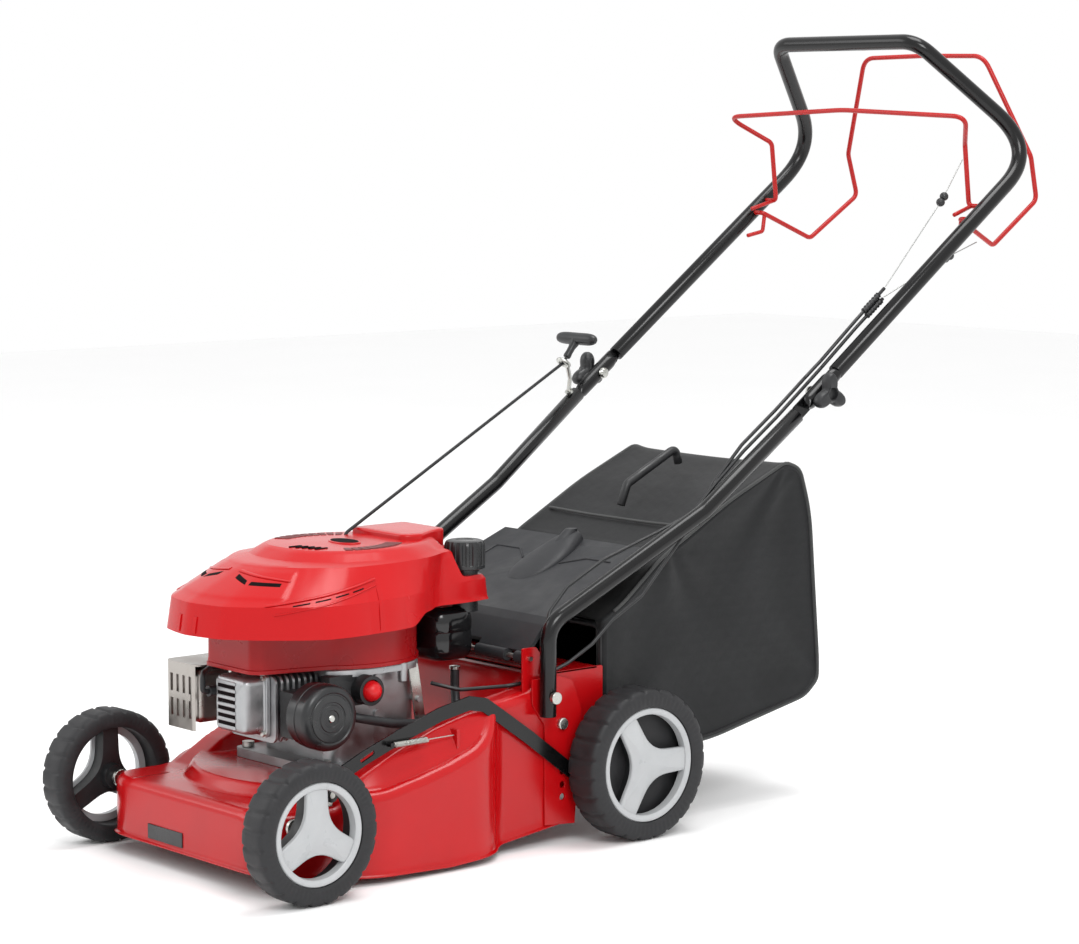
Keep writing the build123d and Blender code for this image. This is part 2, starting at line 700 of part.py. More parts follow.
star_knob = build_star_knob()
keep("left_star_knob", star_knob)
keep("right_star_knob", other_side(star_knob))


def build_bail(half, radii, crown, crown_radius):
    """A bent wire across the handle, from its left half; crown is the middle point."""
    points = half + [crown] + [(-x, y, z) for x, y, z in reversed(half)]
    return bent(points, radii + [crown_radius] + radii[::-1], BAIL_R)


STOP_HALF = [(228, *STOP_PIVOT), (196, *STOP_PIVOT), (196, 632, 905), (242, 583, 944)]
stop_bail = build_bail(STOP_HALF, [8, 12, 14], (0, 583, 954), 400)
for tail in both(rod((201, *STOP_PIVOT), (206, 600, 806), 3)):
    stop_bail += tail
keep("stop_bail", stop_bail)

DRIVE_HALF = [(228, *DRIVE_PIVOT), (200, *DRIVE_PIVOT), (186, 705, 760), (182, 802, 824)]
DRIVE_HALF += [(185, 785, 887), (120, 752, 1032)]
drive_bail = build_bail(DRIVE_HALF, [8, 12, 14, 25, 30], (0, 752, 1034), 400)
for tail in both(bent([(200, 622, 798), (200, 618, 772), (204, 590, 766)], [6], 3)):
    drive_bail += tail
keep("drive_bail", drive_bail)

# ---------------------------------------------------------------- cables and starter rope
drive_low = [(213, 304, 583), (211, 250, 541), (210, 190, 499), (208, 135, 459), (203, 100, 431)]
drive_low += [(198, 40, 399), (191, -20, 367), (183, -70, 338), (174, -112, 292)]
drive_low += [(168, -124, 250), (168, -126, 225)]
stop_low = [(211, 302, 591), (208, 250, 550), (206, 190, 507), (204, 135, 467), (198, 100, 440)]
stop_low += [(192, 40, 408), (185, -20, 376), (177, -70, 347), (170, -135, 302)]
stop_low += [(166, -170, 262), (158, -184, 232), (140, -192, 212), (120, -203, 209)]
stop_low += [(104, -240, 216), (98, -256, 220)]
lower_cables = [
    bent(drive_low, [30] * 7 + [20, 12], CABLE_R),
    bent(stop_low, [30] * 6 + [25, 20, 12, 8, 8, 12, 10], CABLE_R),
]
keep("lower_cables", *lower_cables)

drive_high = [(213, 332, 604), (212, 400, 656), (212, 452, 694)]
stop_high = [(211, 334, 614), (210, 400, 665), (209, 458, 708)]
upper_cables = [
    bent(drive_high, [200], CABLE_R) + rod((212, 420, 670.6), (212, 448, 691), 4),
    bent(stop_high, [200], CABLE_R) + rod((209.7, 416, 677), (209.2, 446, 699), 4),
]
keep("upper_cables", *upper_cables)
keep(
    "bail_wires",
    bent([(212, 454, 696), (204, 590, 747), (191, 665, 766)], [60], 1.0),
    bent([(209, 460, 710), (202, 580, 828), (199, 624, 884)], [60], 1.0),
)

eye_plane = Plane(origin=ROPE_EYE, z_dir=PULL)
guide = eye_plane * Torus(8.5, 3)
guide += bent([(-222, 248.5, 584), (-223, 254, 566), (-224.5, 252.8, 548.4)], [8], 3)
guide += rod((-224.5, 255.1, 545.3), (-224.5, 252.5, 548.8), 6)
keep("rope_guide", guide)

rope_end = tuple(Vector(*ROPE_EYE) + Vector(*PULL) * 8)
rope = bent(ROPE_PATH + [rope_end], [8, 12, 5], 2.2)
keep("starter_rope", rope)

GRIP_CENTRE = tuple(Vector(*ROPE_EYE) + Vector(*PULL) * 42)
grip = rod(tuple(Vector(*ROPE_EYE) + Vector(*PULL) * 8.5), GRIP_CENTRE, 7)
grip_bar = bar_x(GRIP_CENTRE[1], GRIP_CENTRE[2], 9, -264, -180)
grip_bar = fillet(grip_bar.edges().filter_by(GeomType.CIRCLE), 6)
keep("starter_grip", grip + grip_bar)

# ---------------------------------------------------------------- flap
flap_spring = bar_x(*FLAP_HINGE, 6, -40, 40) - bar_x(*FLAP_HINGE, 3.6, -41, 41)
keep("flap_rod", bar_x(*FLAP_HINGE, 3, -168, 168), flap_spring)

FLAP_TOP = [(-144, 256), (-116, 288), (-106, 297), (78, 370)]


def build_flap():
    """Flap over the discharge: a sloping plate with side lips, a front skirt and knuckles."""
    under = [(78, 364), (-102, 292), (-112, 284), (-139, 252)]
    flap = side_prism(FLAP_TOP + under, -157, 157)
    for lip in both(side_prism([(-114, 284), (-104, 293), (78, 366), (78, 358), (-92, 282)], 153, 157)):
        flap += lip
    for x0, x1 in ((60, 120), (-120, -60), (140, 157), (-157, -140)):
        flap += bar_x(*FLAP_HINGE, 8, x0, x1)
    flap -= bar_x(*FLAP_HINGE, 3 + 0.08, -170, 170)
    flap -= block(-58, 58, -156, -135, 236, 262)
    bulge = loft([Plane.XY.offset(330) * (Pos(0, 30) * Ellipse(24, 44)),
                  Plane.XY.offset(384) * (Pos(0, 66) * Ellipse(7, 9))])
    flap += bulge - side_prism([(-160, 200), (-104, 294), (90, 370), (90, 200)], -60, 60)
    return flap


keep("rear_flap", build_flap())

# ---------------------------------------------------------------- grass bag
BAG = [(-17, 116), (-17, 284), (20, 302), (85, 354), (104, 368), (216, 428), (322, 473)]
BAG += [(352, 462), (372, 400), (391, 190), (384, 150), (360, 136), (170, 96), (90, 100)]


def bag_form(inset):
    face = Polygon(*BAG, align=None)
    face = offset(face, -inset) if inset else face
    return extrude(side_plane(-162 + inset) * face, amount=2 * (162 - inset), dir=(1, 0, 0))


def build_bag():
    bag = bag_form(0)
    bag = fillet(bag.edges().filter_by(Axis.Y), 20) if bag.edges().filter_by(Axis.Y) else bag
    bag -= bag_form(2.5)
    bag -= block(-156, 156, -30, 0, 122, 278)
    return bag


keep("bag_shell", build_bag())

FRAME_HALF = [(140, 112, 360), (140, 318, 460)]
bag_frame = bent(FRAME_HALF + [(-x, y, z) for x, y, z in FRAME_HALF[::-1]], [20, 20], 3)
keep("bag_frame", bag_frame)
bag_handle = bent([(0, 156, 409), (0, 168, 438), (0, 258, 482), (0, 264, 460)], [12, 12], 6)
keep("bag_handle", bag_handle)

# ---------------------------------------------------------------- writing
front_end = FRONT_AXLE[0] - FRONT_R
rear_end = drive_bail.bounding_box().max.Y
SHIFT_Y = -(front_end + rear_end) / 2
for name, shape in written.items():
    export_step(shape.moved(Location((0, SHIFT_Y, 0))), f"parts/{name}.step")
print("moved by", round(SHIFT_Y, 3))
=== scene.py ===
import json
import math

import bmesh
import bpy
import numpy as np
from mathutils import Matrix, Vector


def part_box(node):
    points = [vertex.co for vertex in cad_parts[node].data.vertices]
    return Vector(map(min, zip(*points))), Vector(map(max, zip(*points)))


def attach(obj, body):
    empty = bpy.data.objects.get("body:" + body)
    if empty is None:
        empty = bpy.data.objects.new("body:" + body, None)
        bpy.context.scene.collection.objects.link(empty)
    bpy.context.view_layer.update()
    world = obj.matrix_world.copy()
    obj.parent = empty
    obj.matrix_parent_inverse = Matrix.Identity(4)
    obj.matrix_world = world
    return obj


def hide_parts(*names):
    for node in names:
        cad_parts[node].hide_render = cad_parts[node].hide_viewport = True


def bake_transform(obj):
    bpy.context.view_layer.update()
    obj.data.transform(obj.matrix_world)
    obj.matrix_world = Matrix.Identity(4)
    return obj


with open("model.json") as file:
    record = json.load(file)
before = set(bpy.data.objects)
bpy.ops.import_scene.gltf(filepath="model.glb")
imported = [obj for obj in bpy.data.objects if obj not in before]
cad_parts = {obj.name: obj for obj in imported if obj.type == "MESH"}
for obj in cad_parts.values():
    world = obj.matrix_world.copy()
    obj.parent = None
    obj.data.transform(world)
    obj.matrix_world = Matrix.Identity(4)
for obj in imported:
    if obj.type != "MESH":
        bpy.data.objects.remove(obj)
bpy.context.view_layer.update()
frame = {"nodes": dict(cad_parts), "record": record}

# The frame's place. The machine is worked out in millimetres with the rear axle at Y 0, and
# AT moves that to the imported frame, whose origin is under the middle of the whole machine.
DRIVE_BAIL_BACK = 803.346
AT = np.array([0.0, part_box("drive_bail")[1].y * 1000 - DRIVE_BAIL_BACK, 0.0])
# The crankshaft's place in plan, and the operator's two sides with the sign of their X.
CRANK = np.array([0.0, -335.0])
SIDES = (("left", 1), ("right", -1))


# ---- Pressed steel deck ----------------------------------------------------------------
# One pressing of 2 mm sheet: a flat nose, a round dome for the blade and a rising volute
# that leads the cut grass back. Enamelled red, with a rolled lower edge.


def linear(hex_colour):
    """sRGB hex to the linear red, green, blue and alpha that the shaders take."""
    s = np.array([int(hex_colour[i:i + 2], 16) / 255 for i in (0, 2, 4)])
    rgb = np.where(s <= 0.04045, s / 12.92, ((s + 0.055) / 1.055) ** 2.4)
    return (*map(float, rgb), 1.0)


def add(tree, kind, settings=(), links=()):
    """Adds one node: settings are (socket or property, value), links (input, node, output)."""
    made = tree.nodes.new(kind)
    for key, value in settings:
        if isinstance(key, int) or key in made.inputs:
            made.inputs[key].default_value = value
        else:
            setattr(made, key, value)
    for key, source, out in links:
        tree.links.new(source.outputs[out], made.inputs[key])
    return made


def start_material(name, settings):
    """An empty material with its Principled shader set, joined to the output."""
    made = bpy.data.materials.new(name)
    made.use_nodes = True
    tree = made.node_tree
    tree.nodes.clear()
    shader = add(tree, "ShaderNodeBsdfPrincipled", settings)
    add(tree, "ShaderNodeOutputMaterial", (), [("Surface", shader, "BSDF")])
    place = add(tree, "ShaderNodeTexCoord")
    return made, tree, shader, place


def finish(name, light, dark, rough, patch_mm, grain_mm, grain_depth_mm, settings=(),
           rough_swing=0.12):
    """A moulded, cast or painted surface. Patches of patch_mm blend the two colours and move
    the roughness; a finer noise of grain_mm raises the surface by grain_depth_mm."""
    made, tree, shader, place = start_material(name, settings)
    patch = add(tree, "ShaderNodeTexNoise", [("Scale", 1000 / patch_mm), ("Detail", 4.0)],
                [("Vector", place, "Object")])
    grain = add(tree, "ShaderNodeTexNoise", [("Scale", 1000 / grain_mm), ("Detail", 3.0)],
                [("Vector", place, "Object")])
    tone = add(tree, "ShaderNodeMix",
               [("data_type", "RGBA"), (6, linear(dark)), (7, linear(light))], [(0, patch, 0)])
    tree.links.new(tone.outputs[2], shader.inputs["Base Color"])
    gloss = add(tree, "ShaderNodeMapRange",
                [("From Min", 0.3), ("From Max", 0.7), ("To Min", max(rough - rough_swing, 0.03)),
                 ("To Max", rough + rough_swing)], [("Value", patch, 0)])
    tree.links.new(gloss.outputs[0], shader.inputs["Roughness"])
    bump = add(tree, "ShaderNodeBump",
               [("Strength", 1.0), ("Distance", grain_depth_mm / 1000)], [("Height", grain, 0)])
    tree.links.new(bump.outputs[0], shader.inputs["Normal"])
    return made


def place_mesh(name, points, faces, body, material, replaces=(), sharp=35, merge=1e-6):
    """A piece from points in millimetres and faces. Doubled points are merged, faces are
    turned outwards, and edges sharper than the angle stay crisp."""
    mesh = bpy.data.meshes.new(name)
    mesh.from_pydata(((np.asarray(points, float).reshape(-1, 3) + AT) / 1000).tolist(), [], faces)
    work = bmesh.new()
    work.from_mesh(mesh)
    bmesh.ops.remove_doubles(work, verts=work.verts, dist=merge)
    bmesh.ops.dissolve_degenerate(work, dist=1e-7, edges=work.edges)
    bmesh.ops.recalc_face_normals(work, faces=work.faces)
    work.to_mesh(mesh)
    work.free()
    return settle(name, mesh, body, material, replaces, sharp)


def settle(name, mesh, body, material, replaces, sharp):
    """Shades a finished mesh, gives it its material and its body, and hides the CAD parts that it
    replaces.
    """
    mesh.materials.clear()
    mesh.materials.append(material)
    mesh.shade_smooth()
    mesh.set_sharp_from_angle(angle=math.radians(sharp))
    piece = bpy.data.objects.new(name, mesh)
    bpy.context.collection.objects.link(piece)
    if body:
        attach(piece, body)
    if replaces:
        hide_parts(*replaces)
    return piece


def grid_faces(rows, columns, wrap_rows=False, wrap_columns=False, start=0):
    """Quads over a grid of points kept row by row, joined end to end where it wraps."""
    r = np.arange(rows if wrap_rows else rows - 1)
    c = np.arange(columns if wrap_columns else columns - 1)
    a = (r[:, None] * columns + c[None, :]).ravel()
    b = (r[:, None] * columns + (c[None, :] + 1) % columns).ravel()
    low = (((r + 1) % rows)[:, None] * columns + (c[None, :] + 1) % columns).ravel()
    d = (((r + 1) % rows)[:, None] * columns + c[None, :]).ravel()
    return (np.stack([a, b, low, d], 1) + start).tolist()


def rounded(corners, radius, steps=6, closed=True):
    """A 2-D or 3-D run of points with each corner replaced by a curve that starts and ends
    the radius away from it, or half the shorter run, as a quadratic through the corner."""
    p = np.asarray(corners, float)
    radius = np.broadcast_to(radius, len(p))
    before, after = np.roll(p, 1, 0), np.roll(p, -1, 0)
    t = np.linspace(0, 1, steps)[:, None]
    out = []
    for i in range(len(p)):
        if not closed and i in (0, len(p) - 1):
            out.append(p[i:i + 1])
            continue
        back, on = before[i] - p[i], after[i] - p[i]
        cut = min(radius[i], 0.5 * np.linalg.norm(back), 0.5 * np.linalg.norm(on))
        a = p[i] + back / np.linalg.norm(back) * cut
        b = p[i] + on / np.linalg.norm(on) * cut
        out.append((1 - t) ** 2 * a + 2 * t * (1 - t) * p[i] + t ** 2 * b)
    return np.concatenate(out)


def dressed(node, material, bevel_mm=0.0, sharp=35, segments=2):
    """The CAD node's own shape as a merged copy, with its edges softened by a bevel."""
    source = frame["nodes"][node]
    mesh = source.data.copy()
    work = bmesh.new()
    work.from_mesh(mesh)
    bmesh.ops.remove_doubles(work, verts=work.verts, dist=1e-6)
    bmesh.ops.dissolve_limit(work, angle_limit=0.01, verts=work.verts, edges=work.edges)
    work.to_mesh(mesh)
    work.free()
    body = next(b for b, kept in frame["record"]["behaviour"]["bodies"].items() if node in kept)
    piece = settle(node + "_finished", mesh, body, material, (node,), sharp)
    if bevel_mm:
        soft = piece.modifiers.new("soft_edges", "BEVEL")
        soft.width = bevel_mm / 1000
        soft.segments = segments
        soft.limit_method = "ANGLE"
        soft.angle_limit = math.radians(35)
        soft.use_clamp_overlap = True
        soft.harden_normals = False
    return piece


RED_ENAMEL = finish("gloss_red_enamel", "b80a10", "a0080d", 0.22, 90, 2.2, 0.012,
                    [("Specular IOR Level", 0.35)], 0.05)


PLATFORM_Z = 118.0
DECK_PLAN = [(0, -574), (150, -574), (188, -552), (188, -460), (205, -418), (205, -258),
             (196, -230), (172, -208), (172, -104), (-172, -104), (-172, -208), (-196, -230),
             (-205, -258), (-205, -418), (-188, -460), (-188, -552), (-150, -574)]
DECK_CORNERS = [0, 40, 24, 30, 40, 40, 20, 16, 0.5, 0.5, 16, 20, 40, 40, 30, 24, 40]
LOWER_EDGE = [(-640, 31), (-574, 27), (-480, 12), (-310, 7), (-220, 12), (-104, 27)]
DECK_AROUND = 420  # points in each ring of the pressing
DECK_SHOULDER_R = 13
LIP_HEIGHT = 3.2
OUTLET_Y = -104.6
OUTLET_ROWS = 5  # rows of the shoulder that the outlet cuts into


def ease(a, b, v):
    """Rises smoothly from 0 at a to 1 at b."""
    t = np.clip((v - a) / (b - a), 0, 1)
    return t * t * (3 - 2 * t)


def sheet_height(x, y):
    """Height of the pressing's top: a flat nose and round dome in front, a pocket behind the
    engine, and on both sides the volute, which slopes down to the shoulder of the wall."""
    def along(pairs):
        return np.interp(y, *np.array(pairs, float).T)

    low = along([(-586, 96), (-530, 100), (-440, 103), (-353, 114), (-306, 124), (-265, 139),
                 (-235, 150), (-215, 172), (-200, 196), (-150, 207), (-128, 222), (-104, 226)])
    high = along([(-500, 100), (-470, 103), (-454, 114), (-424, 132), (-369, 156), (-305, 178),
                  (-257, 190), (-208, 198), (-150, 207), (-128, 222), (-104, 226)])
    pocket = along([(-500, 102), (-300, PLATFORM_Z), (-240, 120), (-185, 157), (-150, 198),
                    (-128, 222), (-104, 226)])
    up = ease(120, 136, np.abs(x))
    out = np.clip((np.abs(x) - 171) / 30, 0, 1)
    z = pocket * (1 - up) + up * (high * (1 - out) + low * out)
    reach = np.hypot(x, y - CRANK[1])
    dome = PLATFORM_Z - 17 * ease(183, 199, reach)
    return np.where(z < dome, dome, z)


def round_plan(corners, radii, count):
    """A closed outline with rounded corners, resampled to even steps."""
    p = rounded(corners, radii, 9)
    return evenly(np.concatenate([p, p[:1]]), count + 1)[:-1]


def evenly(points, count):
    """An open run of points resampled to equal steps along its length."""
    p = np.asarray(points, float)
    length = np.r_[0, np.cumsum(np.linalg.norm(np.diff(p, axis=0), axis=1))]
    at = np.linspace(0, length[-1], count)
    return np.stack([np.interp(at, length, p[:, k]) for k in range(p.shape[1])], 1)


def shrunk(outline, distance):
    """A closed outline moved inwards by a distance along its own normals."""
    p = np.asarray(outline, float)
    along = np.roll(p, -1, 0) - np.roll(p, 1, 0)
    along /= np.linalg.norm(along, axis=1)[:, None] + 1e-12
    normal = np.stack([-along[:, 1], along[:, 0]], 1)
    area = np.sum(p[:, 0] * np.roll(p[:, 1], -1) - np.roll(p[:, 0], -1) * p[:, 1])
    return p + normal * distance * (1 if area > 0 else -1)


def pressing():
    """Rings from the rolled lower edge up the wall, over the shoulder and in to the crank."""
    plan = round_plan(DECK_PLAN, DECK_CORNERS, DECK_AROUND)
    shoulder = shrunk(plan, 12)
    top = sheet_height(shoulder[:, 0], shoulder[:, 1])
    wall_top = top - DECK_SHOULDER_R
    edge = np.interp(plan[:, 1], *np.array(LOWER_EDGE, float).T)
    rows = []
    for out, rise in ((4.0, 0.0), (3.2, 1.0), (1.2, 1.8), (0.2, LIP_HEIGHT)):
        rows.append(np.column_stack([shrunk(plan, -out), edge + rise]))
    for share in np.linspace(0.08, 1, 7):
        height = edge + LIP_HEIGHT + (wall_top - edge - LIP_HEIGHT) * share
        rows.append(np.column_stack([plan, height]))
    walls = len(rows)
    for t in np.linspace(0.2, math.pi / 2, 6):
        rows.append(np.column_stack([shrunk(plan, DECK_SHOULDER_R * (1 - math.cos(t))),
                                     wall_top + DECK_SHOULDER_R * math.sin(t)]))
    for share in np.concatenate([np.linspace(0.985, 0.6, 34), np.linspace(0.55, 0.08, 10)]):
        p = CRANK + (shoulder - CRANK) * share
        rows.append(np.column_stack([p, sheet_height(p[:, 0], p[:, 1])]))
    return np.stack(rows), walls


deck_rows, wall_rows = pressing()
behind = deck_rows[wall_rows, :, 1] > OUTLET_Y
deck_faces = []
for face in grid_faces(len(deck_rows), DECK_AROUND, False, True):
    row, column = divmod(face[0], DECK_AROUND)
    over_outlet = behind[column] and behind[face[1] % DECK_AROUND]
    if row >= wall_rows + OUTLET_ROWS or not over_outlet:
        deck_faces.append(face)
deck = place_mesh("deck_pressing", deck_rows, deck_faces, "chassis", RED_ENAMEL,
                  ("deck",), 50)
sheet = deck.modifiers.new("sheet_2_mm", "SOLIDIFY")
sheet.thickness, sheet.offset = 0.002, -1


def cut_plate(name, outline, x0, x1, body, material, replaces=(), bevel_mm=0.5, radius=3):
    """A flat plate of constant section along X, from its (y, z) outline, with eased edges."""
    p = rounded(outline, radius, 5)
    points = np.concatenate([np.column_stack([np.full(len(p), x), p]) for x in (x0, x1)])
    n = len(p)
    sides = [(i, (i + 1) % n, (i + 1) % n + n, i + n) for i in range(n)]
    piece = place_mesh(name, points, sides + [tuple(range(n)), tuple(range(2 * n - 1, n - 1, -1))],
                       body, material, replaces, 40)
    soft = piece.modifiers.new("eased_edges", "BEVEL")
    soft.width, soft.segments, soft.limit_method = bevel_mm / 1000, 2, "ANGLE"
    soft.angle_limit = math.radians(50)
    return piece


SIDE_PLATE = [(-104, 27), (-92, 70), (-30, 70), (-20, 100), (-20, 226), (-108, 226), (-134, 262),
              (-157, 262), (-157, 200), (-104, 200)]
for hand, sign in SIDES:
    cut_plate(f"tunnel_side_{hand}", SIDE_PLATE, 161 * sign, 164 * sign, "chassis", RED_ENAMEL)
    cut_plate(f"rear_cheek_{hand}", [(-106, 27), (-103.6, 27), (-103.6, 224), (-106, 224)],
              163 * sign, 172 * sign, "chassis", RED_ENAMEL, (), 0.3, 0.2)
cut_plate("tunnel_roof", [(-108, 223), (-108, 225.6), (-30, 226), (-30, 223)], -164, 164,
          "chassis", RED_ENAMEL, (), 0.4, 0.5)
cut_plate("tunnel_ramp", [(-104, 60), (-21, 119), (-21, 121.5), (-104, 62.5)], -161, 161,
          "chassis", RED_ENAMEL, (), 0.4, 0.5)
cut_plate("tunnel_sill", [(-106, 30), (-104, 30), (-104, 62), (-106, 62)], -163, 163,
          "chassis", RED_ENAMEL, (), 0.3, 0.3)
cut_plate("spring_tab", [(-286, 150), (-281, 150), (-281, 176), (-286, 176)], 176, 190,
          "chassis", RED_ENAMEL, (), 0.6, 1)

# ---- Wheels ----------------------------------------------------------------------------
# Moulded polypropylene wheels: a ribbed tread round a hub with three wings. The rim and the
# wings' cover are a lighter clip-on trim, and the rear pair is closed behind the wings.


def turned(name, profile, count, centre, body, material, replaces=(), relief=None, sharp=35):
    """A closed section, as (place along X, radius) points, carried round an axle along X.
    The relief function may change radius and place for each angle."""
    section = np.asarray(profile, float)
    angle = np.linspace(0, 2 * math.pi, count, endpoint=False)
    u = np.repeat(section[None, :, 0], count, 0)
    r = np.repeat(section[None, :, 1], count, 0)
    if relief:
        u, r = relief(u, r, angle[:, None])
    side = 1 if centre[0] > 0 else -1
    points = np.stack([centre[0] + side * u, centre[1] + r * np.cos(angle[:, None]),
                       centre[2] + r * np.sin(angle[:, None])], -1)
    return place_mesh(name, points, grid_faces(count, len(section), True, True),
                      body, material, replaces, sharp)


def discs(profile, count=96, lobes=None):
    """Rings for a turned shape from (height, radius) pairs; lobes scales the radius round it."""
    turn = np.linspace(0, 2 * math.pi, count, endpoint=False)
    scale = np.ones(count) if lobes is None else lobes(turn)
    return [np.column_stack([r * scale * np.cos(turn), r * scale * np.sin(turn), np.full(count, h)])
            for h, r in profile]


def seat(place, axis):
    """Carries points (a, b, height) to a place in the machine, with height along an axis."""
    order = {"X": (2, 0, 1), "Y": (0, 2, 1), "Z": (0, 1, 2)}[axis]
    return lambda p: np.asarray(place, float) + p[:, order]


def in_place(points):
    """For a piece that is drawn where it stands in the machine."""
    return points


def at_height(outline, height):
    """One ring: an outline carried to a height of its own."""
    return np.column_stack([outline, np.full(len(outline), height)])


def moulded(name, rings, to_frame, body, material, replaces=(), sharp=35):
    """Rings of points (a, b, height), each joined to the next, with both ends closed."""
    rings = np.asarray(rings, float)
    rows, columns = rings.shape[:2]
    ends = [rings[0].mean(0), rings[-1].mean(0)]
    rings = np.concatenate([np.repeat(ends[0][None, None], columns, 1), rings,
                            np.repeat(ends[1][None, None], columns, 1)])
    return place_mesh(name, to_frame(rings.reshape(-1, 3)),
                      grid_faces(rows + 2, columns, False, True), body, material,
                      replaces, sharp)


def pillow(outline, base, top, edge, crown=0.0, steps=4):
    """Rings for a plate with that outline from base to top, its upper edge rounded by edge,
    and its face raised towards the middle by crown."""
    rings = [at_height(outline, base)]
    for t in np.linspace(0, math.pi / 2, steps):
        ring = shrunk(outline, edge * (1 - math.cos(t)))
        rings.append(at_height(ring, top - edge + edge * math.sin(t)))
    inner = rings[-1][:, :2]
    middle = inner.mean(0)
    for share in (0.75, 0.45, 0.2):
        rings.append(at_height(middle + (inner - middle) * share, top + crown * (1 - share ** 2)))
    return rings


def wing_outline(reach, half_width, notch, first):
    """Three wings that run out to the rim, with rounded hollows between them."""
    corners = []
    for i in range(3):
        turn = math.radians(first + 120 * i)
        for a, b in ((reach, -half_width), (reach, half_width)):
            corners.append((a * math.cos(turn) - b * math.sin(turn),
                            a * math.sin(turn) + b * math.cos(turn)))
        hollow = turn + math.radians(60)
        corners.append((notch * math.cos(hollow), notch * math.sin(hollow)))
    return rounded(corners, [2.5, 2.5, 26] * 3, 8)


TYRE = finish("moulded_tread_polypropylene", "303032", "1b1b1c", 0.55, 26, 1.2, 0.1,
              [("Specular IOR Level", 0.3)])
TRIM = finish("light_grey_trim_abs", "b4b6b7", "9fa1a3", 0.38, 45, 1.4, 0.03)
WEB_BLACK = finish("black_wheel_web", "1a1b1d", "101112", 0.5, 30, 1.5, 0.05)
LUGS = 24


def tread(radius, width, rim):
    """Relief of the tread: skewed grooves part the lugs, which step in towards both edges,
    and thin ribs stand on the side faces between the rim and the tread."""
    def relief(u, r, angle):
        across = (u - width / 2) / (width / 2)
        skew = 0.06 * np.abs(across)
        phase = ((angle / (2 * math.pi) * LUGS + skew * 4) % 1.0)
        groove = np.clip(1 - np.abs(phase - 0.5) / 0.13, 0, 1)
        groove = np.clip(groove * 2.2, 0, 1)
        outer = np.clip((r - (radius - 6)) / 5, 0, 1)
        r = r - groove * outer * (0.6 + 2.6 * np.abs(across) ** 0.7)
        half = ((angle / (2 * math.pi) * LUGS * 3) % 1.0)
        rib = np.clip(1 - np.abs(half - 0.5) / 0.16, 0, 1)
        side = np.clip((r - rim - 4) / 2, 0, 1) * np.clip((radius - 8 - r) / 2, 0, 1)
        u = u + np.sign(across) * rib * side * 0.8 * (np.abs(across) > 0.8)
        return u, r
    return relief


def wheel(name, body, centre, radius, width, rim, closed, wings_at):
    """One wheel with its tread, web, hub and trim; X grows away from the machine."""
    profile = [(3, rim + 0.3), (1.2, rim + 3), (0.6, rim + 5), (0.6, radius - 11), (1.0, radius - 8),
               (2.0, radius - 4), (4.5, radius - 1.2), (8, radius), (width * 0.3, radius),
               (width * 0.5, radius), (width * 0.7, radius), (width - 8, radius),
               (width - 4.5, radius - 1.2), (width - 2.0, radius - 4), (width - 1.0, radius - 8),
               (width - 0.9, radius - 11), (width - 0.9, rim + 5), (width - 1.4, rim + 3),
               (width - 3, rim + 0.3), (width - 4, rim), (4, rim)]
    turned(name + "_tyre", profile, 288, centre, body, TYRE, (name,),
           tread(radius, width, rim), 40)
    face = width - 3.5
    ring = [(face - 13, rim - 0.4), (face - 2, rim - 0.4), (face - 0.4, rim - 1.6),
            (face, rim - 3.2), (face - 0.8, rim - 7.6), (face - 2.2, rim - 9.2),
            (face - 13, rim - 10)]
    turned(name + "_rim", ring, 96, centre, body, TRIM)
    side = 1 if centre[0] > 0 else -1

    def to_frame(p):
        return np.stack([centre[0] + side * p[:, 2], centre[1] + p[:, 0], centre[2] + p[:, 1]], 1)

    wings = wing_outline(rim - 6, 15.5, 20, wings_at)
    moulded(name + "_wings", pillow(wings, face - 9, face - 3.4, 2.6, 4.6), to_frame, body,
            TRIM)
    back = wing_outline(rim + 0.2, 11, 15, wings_at)
    if closed:
        disc = [(width * 0.52, 4), (width * 0.52, rim + 0.2), (width * 0.46, rim + 0.2),
                (width * 0.46, 4)]
        turned(name + "_disc", disc, 96, centre, body, TYRE)
    moulded(name + "_web", pillow(back, 13, face - 10, 1.5), to_frame, body, WEB_BLACK)
    hub = [(4, 6.3), (4, 15), (14, 17), (face - 12, 17), (face - 12, 6.3)]
    turned(name + "_hub", hub, 48, centre, body, WEB_BLACK)


FRONT_WHEEL_Y, FRONT_R, REAR_R = -541.3, 87.5, 100.0
for hand, sign in SIDES:
    wheel(f"front_{hand}_wheel", f"front_{hand}_wheel", (202.6 * sign, FRONT_WHEEL_Y, FRONT_R),
          FRONT_R, 47.0, 64.4, False, 90)
    wheel(f"rear_{hand}_wheel", f"rear_{hand}_wheel", (182.4 * sign, 0.0, REAR_R),
          REAR_R, 55.4, 76.0, True, 0)

# ---- Handle tubes ----------------------------------------------------------------------
# Two lower legs and an upper bow of 22 mm steel tube, black enamelled. The tube ends are
# flattened where they lap at the fold, and a star knob clamps each lap.


